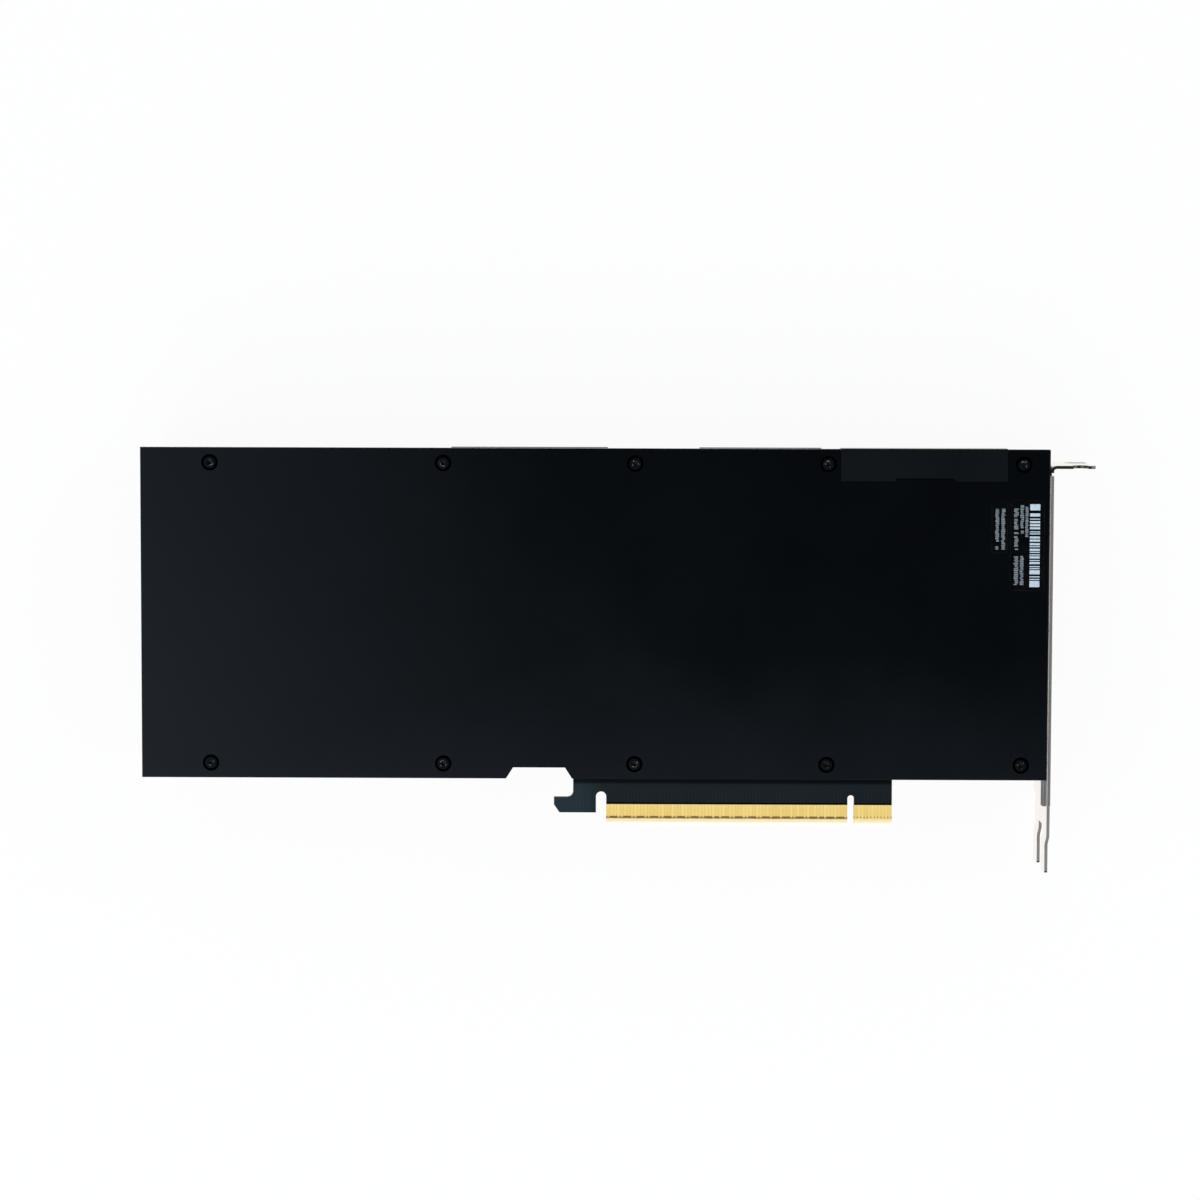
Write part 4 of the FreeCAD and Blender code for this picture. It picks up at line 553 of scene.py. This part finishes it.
FINISHES = {
    "circuit_board": board_finish(),
    "gold_plating": gold_finish(),
    "black_anodised_aluminium": coated(
        "black_anodised_aluminium", (0.0005, 0.0009, 0.0013, 1), (0.0010, 0.0016, 0.0022, 1),
        grey(0.010, 1.2), rough=(0.19, 0.23), wear=0.30, specular=0.27,
        sheen_colour=(0.0050, 0.0062, 0.0080, 1), shade_colour=(0.0024, 0.0027, 0.0030, 1)),
    "black_moulding": coated(
        "black_satin_cover", (0.0016, 0.0022, 0.0030, 1), (0.0023, 0.0031, 0.0040, 1), grey(0.016),
        rough=(0.27, 0.33), wear=0.35, specular=0.27),
    "insulator_film": moulded("insulator_film", grey(0.012), grey(0.020), (0.25, 0.35), 2500.0, 0.05),
    "bracket_steel": bracket_finish(),
    "black_cast_aluminium": coated(
        "black_coated_casting", grey(0.010), grey(0.016), grey(0.05),
        rough=(0.5, 0.65), grain=2200.0, bump=0.3, wear=0.4),
    "black_cover_aluminium": coated(
        "black_anodised_cover", grey(0.008, 1.1), grey(0.012, 1.1), grey(0.05),
        rough=(0.42, 0.54), wear=0.45),
    "bare_aluminium": bare("mill_finish_aluminium", (0.80, 0.81, 0.83, 1), (0.64, 0.65, 0.67, 1)),
    "package_laminate": moulded(
        "package_laminate", (0.02, 0.09, 0.045, 1), (0.03, 0.12, 0.06, 1), (0.3, 0.4)),
    "silicon": silicon_finish(),
    "plated_steel": bare(
        "bright_nickel_plate", (0.68, 0.67, 0.64, 1), (0.55, 0.54, 0.52, 1),
        (1, 30, 30), 90.0, (0.22, 0.34)),
    "ferrite": moulded("moulded_ferrite", grey(0.035), grey(0.055), (0.55, 0.7), 3500.0, 0.3),
    "black_mould_compound": moulded("black_mould_compound", grey(0.010), grey(0.016), (0.45, 0.6)),
    "thermal_pad": moulded(
        "soft_thermal_pad", (0.30, 0.33, 0.38, 1), (0.38, 0.41, 0.46, 1), (0.7, 0.85), 1800.0, 0.4),
    "capacitor_case": moulded(
        "capacitor_case", (0.045, 0.036, 0.020, 1), (0.060, 0.050, 0.030, 1), (0.35, 0.5)),
    "connector_nylon": moulded(
        "glass_filled_nylon", grey(0.009), grey(0.015), (0.42, 0.55), 3200.0, 0.25),
    "tinned_pins": bare(
        "tin_plate", (0.72, 0.71, 0.68, 1), (0.58, 0.57, 0.55, 1), (1, 25, 25), 200.0, (0.3, 0.42)),
    "black_screw_steel": screw_finish(),
    "clear_label": film_finish(),
}
WHITE_INK = ink_finish("white_label_ink", (0.62, 0.72, 0.79, 1), (0.34, 0.41, 0.46, 1))
GREY_INK = ink_finish("fine_label_ink", (0.22, 0.25, 0.27, 1), (0.10, 0.12, 0.13, 1))

for subpart in frame["record"]["subparts"]:
    for slot in nodes[subpart["node"]].material_slots:
        slot.material = FINISHES[subpart["material_slot"]]


# ---------------------------------------------------------------- geometry trees


def geometry_tree(name, inputs):
    """A geometry tree with named inputs."""
    tree = bpy.data.node_groups.new(name, "GeometryNodeTree")
    tree.interface.new_socket("Geometry", in_out="INPUT", socket_type="NodeSocketGeometry")
    for socket, kind in inputs:
        tree.interface.new_socket(socket, in_out="INPUT", socket_type=kind)
    tree.interface.new_socket("Geometry", in_out="OUTPUT", socket_type="NodeSocketGeometry")
    return Graph(tree), tree.nodes.new("NodeGroupInput"), tree.nodes.new("NodeGroupOutput")


def close_tree(graph, instances, start, end):
    """Real mesh with its material at the end of a tree."""
    real = graph.node("GeometryNodeRealizeInstances", {"Geometry": instances}).outputs[0]
    set_up = graph.node("GeometryNodeSetMaterial",
                        {"Geometry": real, "Material": start.outputs["Finish"]})
    graph.tree.links.new(set_up.outputs[0], end.inputs[0])
    return graph.tree


def make_screw_tree():
    """A screw on each point, tilted the way its hole points and turned by chance about its axis."""
    graph, start, end = geometry_tree("seat_screws", [
        ("Screw", "NodeSocketObject"), ("Tilt", "NodeSocketRotation"), ("Size", "NodeSocketFloat"),
        ("Full Turn", "NodeSocketFloat"), ("Seed", "NodeSocketInt"), ("Finish", "NodeSocketMaterial")])
    screw = graph.node("GeometryNodeObjectInfo", {
        "Object": start.outputs["Screw"], "As Instance": True}).outputs["Geometry"]
    seated = graph.node("GeometryNodeInstanceOnPoints", {
        "Points": start.outputs["Geometry"], "Instance": screw,
        "Rotation": start.outputs["Tilt"], "Scale": start.outputs["Size"]}).outputs[0]
    limits = {"Max": start.outputs["Full Turn"], "Seed": start.outputs["Seed"]}
    chance = graph.node("FunctionNodeRandomValue", limits, data_type="FLOAT").outputs["Value"]
    turn = graph.node("ShaderNodeCombineXYZ", {"Z": chance}).outputs[0]
    turned = graph.node("GeometryNodeRotateInstances",
                        {"Instances": seated, "Rotation": turn, "Local Space": True})
    return close_tree(graph, turned.outputs[0], start, end)


def make_print_tree():
    """A flat bar of ink on each point, as long and wide as the point's own attribute says."""
    graph, start, end = geometry_tree("lay_ink", [
        ("Ink Height", "NodeSocketFloat"), ("Finish", "NodeSocketMaterial")])
    bar = graph.node("GeometryNodeMeshCube", {"Size": (1, 1, 1)}).outputs["Mesh"]
    size = graph.node("GeometryNodeInputNamedAttribute", {"Name": "bar_size"},
                      data_type="FLOAT_VECTOR").outputs[0]
    parts = graph.axes(size)
    scale = graph.node("ShaderNodeCombineXYZ", {
        "X": parts["X"], "Y": parts["Y"], "Z": start.outputs["Ink Height"]}).outputs[0]
    laid = graph.node("GeometryNodeInstanceOnPoints", {
        "Points": start.outputs["Geometry"], "Instance": bar, "Scale": scale}).outputs[0]
    return close_tree(graph, laid, start, end)


SEAT_SCREWS = make_screw_tree()
LAY_INK = make_print_tree()


def add_object(name, mesh):
    """A mesh's object, at the origin of the scene."""
    made = bpy.data.objects.new(name, mesh)
    scene.collection.objects.link(made)
    return made


def points_mesh(name, places, attribute=None):
    """Loose points for a geometry tree, with a vector attribute (name, values) where it needs one."""
    mesh = bpy.data.meshes.new(name)
    mesh.from_pydata([tuple(place) for place in places], [], [])
    if attribute:
        layer = mesh.attributes.new(attribute[0], "FLOAT_VECTOR", "POINT")
        for entry, size in zip(layer.data, attribute[1]):
            entry.vector = size
    return mesh


def grown(name, base_mesh, tree, inputs, finish):
    """Runs a geometry tree over a mesh and keeps its result as a plain mesh object."""
    carrier = add_object(name + "_places", base_mesh)
    modifier = carrier.modifiers.new("tree", "NODES")
    modifier.node_group = tree
    sockets = {item.name: item.identifier for item in tree.interface.items_tree
               if item.in_out == "INPUT"}
    for label, given in inputs.items():
        modifier[sockets[label]] = given
    modifier[sockets["Finish"]] = finish
    evaluated = carrier.evaluated_get(bpy.context.evaluated_depsgraph_get())
    mesh = bpy.data.meshes.new_from_object(evaluated)
    mesh.name = name
    bpy.data.objects.remove(carrier)
    return add_object(name, mesh)


def mesh_from(name, shell):
    """An object from a finished bmesh, its faces turned outwards."""
    bmesh.ops.recalc_face_normals(shell, faces=shell.faces[:])
    mesh = bpy.data.meshes.new(name)
    shell.to_mesh(mesh)
    shell.free()
    return add_object(name, mesh)


def keep(piece, slot, *replaced):
    """Puts a piece on the card and hides the CAD nodes that it stands for; slot is not used."""
    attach(piece, CARD)
    if replaced:
        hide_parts(*replaced)


# ---------------------------------------------------------------- screws

LOBES = 6  # of the drive socket
SIDES = 4 * LOBES  # points round a screw
LOBE_DEPTH = 0.13  # of the socket's radius
SOCKET_DEPTH = 0.55 * MM
SOCKET_EDGE = 1.16, 0.13 * MM  # broken edge: its radius to the socket's, and its depth
SOCKET_TAPER = 0.96  # the socket's foot to its mouth
SOCKET_FLOOR = (0.45, 0.10 * MM), (0, 0.18 * MM)  # a shallow cone: radius to the socket's, and depth
THREAD_PITCH = 0.5 * MM
THREAD_DEPTH = 0.14 * MM
THREAD_CREST = 1.22 * MM
RINGS_PER_TURN = 6
PAN_RADIUS, PAN_HEIGHT, PAN_RIM = 1.9 * MM, 1.15 * MM, 0.40 * MM
PAN_FOOT, PAN_NECK = 0.08 * MM, 0.25 * MM  # broken edge under the head, plain shank below it
PAN_SOCKET = 0.86 * MM
PAN_DISH = 1.34 * MM, 1.30 * MM, 1.16 * MM  # a shallow dish round the socket: rim, foot, inner edge
DISH_DEPTH = 0.03 * MM
FLAT_RADIUS, FLAT_SOCKET, FLAT_NECK = 2.1 * MM, 0.92 * MM, 1.2 * MM
FLAT_LAND, FLAT_EDGE = 0.05 * MM, 0.02 * MM  # the flat head's side, inside its cone and below its top
FLAT_RELIEF, FLAT_SHANK = 0.12 * MM, 0.3 * MM  # below the cone: end of its fillet, start of the thread
RIM_STEPS = 4
SAME_POINT = 0.002 * MM


def turned_shell(name, rings):
    """Closed shell through rings about Z: (radius, z, lobe depth, thread depth), radius 0 at a pole."""
    shell = bmesh.new()
    rows = []
    for radius, z, lobe, thread in rings:
        if radius == 0:
            rows.append([shell.verts.new((0, 0, z))])
            continue
        row = []
        for step in range(SIDES):
            angle = 2 * math.pi * step / SIDES
            phase = (z / THREAD_PITCH - step / SIDES) % 1.0
            cut = thread * abs(2 * phase - 1)
            reach = radius * (1 + lobe * math.cos(LOBES * angle)) - cut
            row.append(shell.verts.new((reach * math.cos(angle), reach * math.sin(angle), z)))
        rows.append(row)
    for low, high in zip(rows, rows[1:]):
        for step in range(SIDES):
            after = (step + 1) % SIDES
            ring = [low[step % len(low)], low[after % len(low)],
                    high[after % len(high)], high[step % len(high)]]
            corners = [v for index, v in enumerate(ring) if v not in ring[:index]]
            shell.faces.new(corners)
    return mesh_from(name, shell)


def plain_rings(*rings):
    """Round rings with no lobes or thread: (radius, z)."""
    return [(radius, z, 0, 0) for radius, z in rings]


def shank_rings(end, top):
    """Threaded shank from its blunt end up to a plain neck."""
    steps = int((top - end) / THREAD_PITCH * RINGS_PER_TURN)
    rings = plain_rings((0, end), (THREAD_CREST * 0.7, end))
    for step in range(1, steps):
        z = end + (top - end) * step / steps
        rings.append((THREAD_CREST, z, 0, THREAD_DEPTH))
    return rings + plain_rings((THREAD_CREST - THREAD_DEPTH, top))


def socket_rings(reach, top):
    """Six-lobed drive socket sunk in a head, with a broken edge and a shallow cone for its floor."""
    wider, edge = SOCKET_EDGE
    wall_end = top - SOCKET_DEPTH
    return [(reach * wider, top, LOBE_DEPTH * 0.8, 0), (reach, top - edge, LOBE_DEPTH, 0),
            (reach * SOCKET_TAPER, wall_end, LOBE_DEPTH, 0)] + plain_rings(
                *((reach * share, wall_end - depth) for share, depth in SOCKET_FLOOR))


def rounded_rim(radius, top, size):
    """Quarter round from a head's side to its top."""
    arc = [math.pi / 2 * step / RIM_STEPS for step in range(RIM_STEPS + 1)]
    return plain_rings(*((radius - size + size * math.cos(angle), top - size + size * math.sin(angle))
                         for angle in arc))


def pan_screw(length):
    """Pan head on z = 0, with a shallow dish round its socket."""
    rings = shank_rings(-length, -PAN_NECK)
    rings += plain_rings((THREAD_CREST - THREAD_DEPTH, 0), (PAN_RADIUS - PAN_FOOT, 0),
                         (PAN_RADIUS, PAN_FOOT))
    rings += rounded_rim(PAN_RADIUS, PAN_HEIGHT, PAN_RIM)
    rim, foot, inner = PAN_DISH
    floor = PAN_HEIGHT - DISH_DEPTH
    rings += plain_rings((rim, PAN_HEIGHT), (foot, floor), (inner, floor))
    return turned_shell("pan_screw", rings + socket_rings(PAN_SOCKET, floor))


def flat_screw(name, length):
    """Countersunk head with its top on z = 0."""
    cone = FLAT_RADIUS - FLAT_NECK
    side = FLAT_RADIUS - FLAT_LAND
    rings = shank_rings(-length, -cone - FLAT_SHANK)
    rings += plain_rings((THREAD_CREST - THREAD_DEPTH, -cone - FLAT_RELIEF), (FLAT_NECK, -cone),
                         (side, -FLAT_LAND), (side, -FLAT_EDGE), (side - 2 * FLAT_EDGE, 0),
                         (FLAT_NECK, 0))
    return turned_shell(name, rings + socket_rings(FLAT_SOCKET, 0))


def centres(node, level_axis, level):
    """The middle of each separate solid of a CAD node, with one coordinate set to its seat."""
    mesh = bmesh.new()
    mesh.from_mesh(nodes[node].data)
    bmesh.ops.remove_doubles(mesh, verts=mesh.verts[:], dist=SAME_POINT)
    unseen = set(mesh.verts)
    found = []
    while unseen:
        island, border = set(), [unseen.pop()]
        while border:
            vert = border.pop()
            island.add(vert)
            for link in vert.link_edges:
                other = link.other_vert(vert)
                if other in unseen:
                    unseen.discard(other)
                    border.append(other)
        low = Vector([min(v.co[i] for v in island) for i in range(3)])
        high = Vector([max(v.co[i] for v in island) for i in range(3)])
        middle = (low + high) / 2
        middle[level_axis] = level
        found.append(middle)
    mesh.free()
    return sorted(found, key=lambda place: (round(place.x, 5), round(place.y, 5), round(place.z, 5)))


def seat_screws(node, prototype, axis, level, tilt, slot, seed):
    """Detailed screws in place of a CAD node's plain ones, seated at a level along one axis."""
    inputs = {"Screw": prototype, "Tilt": tilt, "Size": 1.0, "Full Turn": 2 * math.pi, "Seed": seed}
    base = points_mesh(node + "_points", centres(node, axis, level))
    screws = grown(node + "_detailed", base, SEAT_SCREWS, inputs, FINISHES[slot])
    for face in screws.data.polygons:
        face.use_smooth = False
    keep(screws, slot, node)


X_AXIS, Z_AXIS = 0, 2
UPWARDS, DOWNWARDS, TO_THE_BRACKET = (0, 0, 0), (math.pi, 0, 0), (0, math.pi / 2, 0)
pan = pan_screw(5.6 * MM)
short_flat = flat_screw("short_flat_screw", 5.5 * MM)
long_flat = flat_screw("long_flat_screw", 9.0 * MM)
seat_screws("backplate_screws", pan, Z_AXIS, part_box("backplate_screws")[1].z - PAN_HEIGHT, UPWARDS,
            "black_screw_steel", 11)
seat_screws("front_cover_screws", short_flat, Z_AXIS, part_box("front_cover_screws")[0].z, DOWNWARDS,
            "black_screw_steel", 12)
seat_screws("bracket_screws", short_flat, X_AXIS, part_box("bracket_screws")[1].x, TO_THE_BRACKET,
            "black_screw_steel", 13)
seat_screws("heatsink_screws", long_flat, Z_AXIS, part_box("heatsink_screws")[1].z, UPWARDS,
            "plated_steel", 14)
for prototype in (pan, short_flat, long_flat):
    bpy.data.objects.remove(prototype)


# ---------------------------------------------------------------- labels

FILM = 0.048 * MM  # label film, so that the ink on it ends level with the CAD label
INK = 0.010 * MM
CORNER_STEPS = 6
# Places in mm: low X, high X, low Y, high Y.
BARCODE = (51.65, 54.60, 70.9, 95.2)
MODULE = 0.30 * MM  # the barcode's thinnest bar
PRODUCT_LINES = ((46.95, 48.35, 81.8, 95.0), (46.95, 48.35, 71.5, 80.9), (48.75, 49.95, 86.6, 95.0),
                 (48.75, 49.95, 71.5, 80.6), (50.25, 51.25, 85.6, 95.0))
INSPECTION_LINES = ((41.45, 42.65, 81.9, 94.35), (43.25, 44.45, 81.9, 94.35))
BLOCK_LENGTHS, BLOCK_HEIGHTS = (0.25, 0.60), (0.60, 0.95)  # least and most: mm, and the line's height
BLOCK_GAP, WORD_GAP_CHANCE, LINE_END = 0.13 * MM, 0.06, 0.5 * MM


def rounded_film(node, corner):
    """A label's film with round corners, on the backplate."""
    low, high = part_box(node)
    shell = bmesh.new()
    rim = []
    middles = [(high.x - corner, high.y - corner, 0), (low.x + corner, high.y - corner, 90),
               (low.x + corner, low.y + corner, 180), (high.x - corner, low.y + corner, 270)]
    for x, y, start in middles:
        for step in range(CORNER_STEPS + 1):
            angle = math.radians(start + 90 / CORNER_STEPS * step)
            rim.append(shell.verts.new(
                (x + corner * math.cos(angle), y + corner * math.sin(angle), low.z)))
    floor = shell.faces.new(rim)
    top = bmesh.ops.extrude_face_region(shell, geom=[floor])
    for item in top["geom"]:
        if isinstance(item, bmesh.types.BMVert):
            item.co.z = low.z + FILM
    film = mesh_from(node + "_film", shell)
    film.data.materials.append(FINISHES["clear_label"])
    keep(film, "clear_label", node)


def ink_bars(name, bars, level, finish):
    """Ink bars (x, y, width along X, length along Y) as one piece."""
    places = [(x, y, level + INK / 2) for x, y, width, length in bars]
    sizes = [(width, length, 0) for x, y, width, length in bars]
    base = points_mesh(name + "_points", places, ("bar_size", sizes))
    keep(grown(name, base, LAY_INK, {"Ink Height": INK}, finish), "clear_label")


def barcode(x_low, x_high, y_low, y_high, chance):
    """Bars of one to four modules, gaps of one to two, stacked along Y between two broad end bars."""
    middle, width, end_bar = (x_low + x_high) / 2, x_high - x_low, 6 * MODULE
    bars = [(middle, y_low + end_bar / 2, width, end_bar),
            (middle, y_high - end_bar / 2, width, end_bar)]
    y = y_low + end_bar + MODULE
    while y < y_high - end_bar - 2 * MODULE:
        thick = min(MODULE * chance.choice((1, 1, 1, 1, 2, 2, 3, 4)), y_high - end_bar - MODULE - y)
        bars.append((middle, y + thick / 2, width, thick))
        y += thick + MODULE * chance.choice((1, 1, 1.5, 2))
    return bars


def print_line(x_low, x_high, y_low, y_high, chance):
    """A line of small plain blocks along Y, of chance widths and heights, in groups."""
    height = x_high - x_low
    bars, y = [], y_low
    while y < y_high - LINE_END:
        long = chance.uniform(*BLOCK_LENGTHS) * MM
        if chance.random() > WORD_GAP_CHANCE:
            tall = height * chance.uniform(*BLOCK_HEIGHTS)
            x = x_low + tall / 2 + chance.random() * (height - tall)
            bars.append((x, y + long / 2, tall, long))
        y += long + BLOCK_GAP
    return bars


def label_prints():
    """Plain barcode and lines of small blocks that stand for the labels' prints."""
    chance = random.Random(4)
    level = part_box("product_label")[0].z + FILM
    code = barcode(*(edge * MM for edge in BARCODE), chance)
    ink_bars("product_label_barcode", code, level, WHITE_INK)
    for name, places in (("product_label_lines", PRODUCT_LINES),
                         ("inspection_label_lines", INSPECTION_LINES)):
        lines = []
        for place in places:
            lines += print_line(*(edge * MM for edge in place), chance)
        ink_bars(name, lines, level, GREY_INK)


rounded_film("product_label", 1.0 * MM)
rounded_film("inspection_label", 0.8 * MM)
label_prints()


# ---------------------------------------------------------------- studio

TABLE_REACH = 4.0  # m from the origin to each side
TABLE_GREY = 0.86
TABLE_SHARE = 0.93  # plain white in what the camera sees of the table; the rest keeps the shadow
TABLE_GLOW = 1.25  # the table's brightness in the card's metal, to its brightness seen straight on
TENT_LEVEL, OPENING_LEVEL = 0.92, 0.005
OPENING_LEAN = math.radians(13), math.radians(15)  # of the tent's dark opening, towards +X and +Y
OPENING_START, OPENING_END = math.cos(math.radians(32)), math.cos(math.radians(24.5))
COOL_START = math.cos(math.radians(60))
SOFTBOXES = (  # name, degrees from +X to +Y, degrees off the zenith, distance, width, height (m), watts
    ("left_softbox", 205, 52, 1.8, 1.8, 1.2, 12.0),
    ("right_softbox", 20, 60, 1.8, 1.6, 1.2, 9.0),
    ("near_softbox", 265, 54, 1.8, 1.8, 1.0, 9.0))
LENS, SENSOR = 109.54, 36.0  # mm
CAMERA_PLACE = (-65.01, 148.49, 1071.5)  # mm
CAMERA_TURNS = ((0.489, "Y"), (-4.381, "X"), (0.162, "Z"))  # degrees
CAMERA_CLIP = 0.05, 20.0  # m
WHITE = (1, 1, 1, 1)


def studio_floor():
    """White table that reads as plain white, yet keeps the card's shadow."""
    mesh = bpy.data.meshes.new("table_top")
    corners = ((-1, -1), (1, -1), (1, 1), (-1, 1))
    mesh.from_pydata([(x * TABLE_REACH, y * TABLE_REACH, cad_low.z) for x, y in corners], [],
                     [(0, 1, 2, 3)])
    material = bpy.data.materials.new("white_table")
    material.use_nodes = True
    graph = Graph(material.node_tree)
    graph.tree.nodes.clear()
    lit = graph.node("ShaderNodeBsdfDiffuse", {"Color": (TABLE_GREY,) * 3 + (1,)}).outputs[0]
    rays = graph.node("ShaderNodeLightPath").outputs
    glow = graph.spread(rays["Is Glossy Ray"], 0.0, 1.0, 1.0, TABLE_GLOW)
    plain = graph.node("ShaderNodeEmission", {"Color": WHITE, "Strength": glow}).outputs[0]
    seen = graph.math("MAXIMUM", rays["Is Camera Ray"], rays["Is Glossy Ray"])
    seen = graph.math("MAXIMUM", seen, rays["Is Transmission Ray"])
    shown = graph.math("MULTIPLY", seen, TABLE_SHARE)
    mixed = graph.node("ShaderNodeMixShader", {0: shown, 1: lit, 2: plain}).outputs[0]
    graph.node("ShaderNodeOutputMaterial", {"Surface": mixed})
    mesh.materials.append(material)
    add_object("table_top", mesh)


def studio_world():
    """A bright tent, white to the camera, with a dark opening overhead a little to the bracket's side."""
    world = bpy.data.worlds.new("studio")
    scene.world = world
    world.use_nodes = True
    graph = Graph(world.node_tree)
    graph.tree.nodes.clear()
    way = graph.node("ShaderNodeTexCoord").outputs["Generated"]
    along_x, along_y = OPENING_LEAN
    opening = Vector((math.tan(along_x), math.tan(along_y), 1.0)).normalized()
    towards = graph.node("ShaderNodeVectorMath", {0: way, 1: opening},
                         operation="DOT_PRODUCT").outputs["Value"]
    level = graph.spread(towards, OPENING_START, OPENING_END, TENT_LEVEL, OPENING_LEVEL)
    cool = graph.blend(graph.spread(towards, COOL_START, OPENING_START),
                       (0.96, 0.98, 1.0, 1), (0.66, 0.82, 1.0, 1))
    soft = graph.node("ShaderNodeBackground", {"Color": cool, "Strength": level}).outputs[0]
    white = graph.node("ShaderNodeBackground", {"Color": WHITE, "Strength": 1.0}).outputs[0]
    rays = graph.node("ShaderNodeLightPath").outputs
    mixed = graph.node("ShaderNodeMixShader", {0: rays["Is Camera Ray"], 1: soft, 2: white}).outputs[0]
    graph.node("ShaderNodeOutputWorld", {"Surface": mixed})


def softbox(name, azimuth, off_zenith, distance, width, height, power):
    """An area lamp aimed at the card's middle."""
    target = (cad_low + cad_high) / 2
    around, down = math.radians(azimuth), math.radians(off_zenith)
    away = Vector((math.cos(around) * math.sin(down), math.sin(around) * math.sin(down),
                   math.cos(down)))
    lamp = bpy.data.lights.new(name, "AREA")
    lamp.shape = "RECTANGLE"
    lamp.size, lamp.size_y = width, height
    lamp.energy = power
    box = bpy.data.objects.new(name, lamp)
    box.location = target + away * distance
    box.rotation_euler = away.to_track_quat("Z", "Y").to_euler()
    scene.collection.objects.link(box)


def aim_camera():
    """Square above the backplate, a little towards the card's top edge."""
    lens = bpy.data.cameras.new("camera")
    lens.sensor_fit = "HORIZONTAL"
    lens.sensor_width = SENSOR
    lens.lens = LENS
    lens.clip_start, lens.clip_end = CAMERA_CLIP
    turn = Matrix.Identity(3)
    for angle, axis in CAMERA_TURNS:
        turn = turn @ Matrix.Rotation(math.radians(angle), 3, axis)
    camera = bpy.data.objects.new("camera", lens)
    camera.matrix_world = Matrix.Translation(Vector(CAMERA_PLACE) * MM) @ turn.to_4x4()
    scene.collection.objects.link(camera)
    scene.camera = camera


studio_floor()
studio_world()
for lamp in SOFTBOXES:
    softbox(*lamp)
aim_camera()
scene.view_settings.view_transform = "Standard"
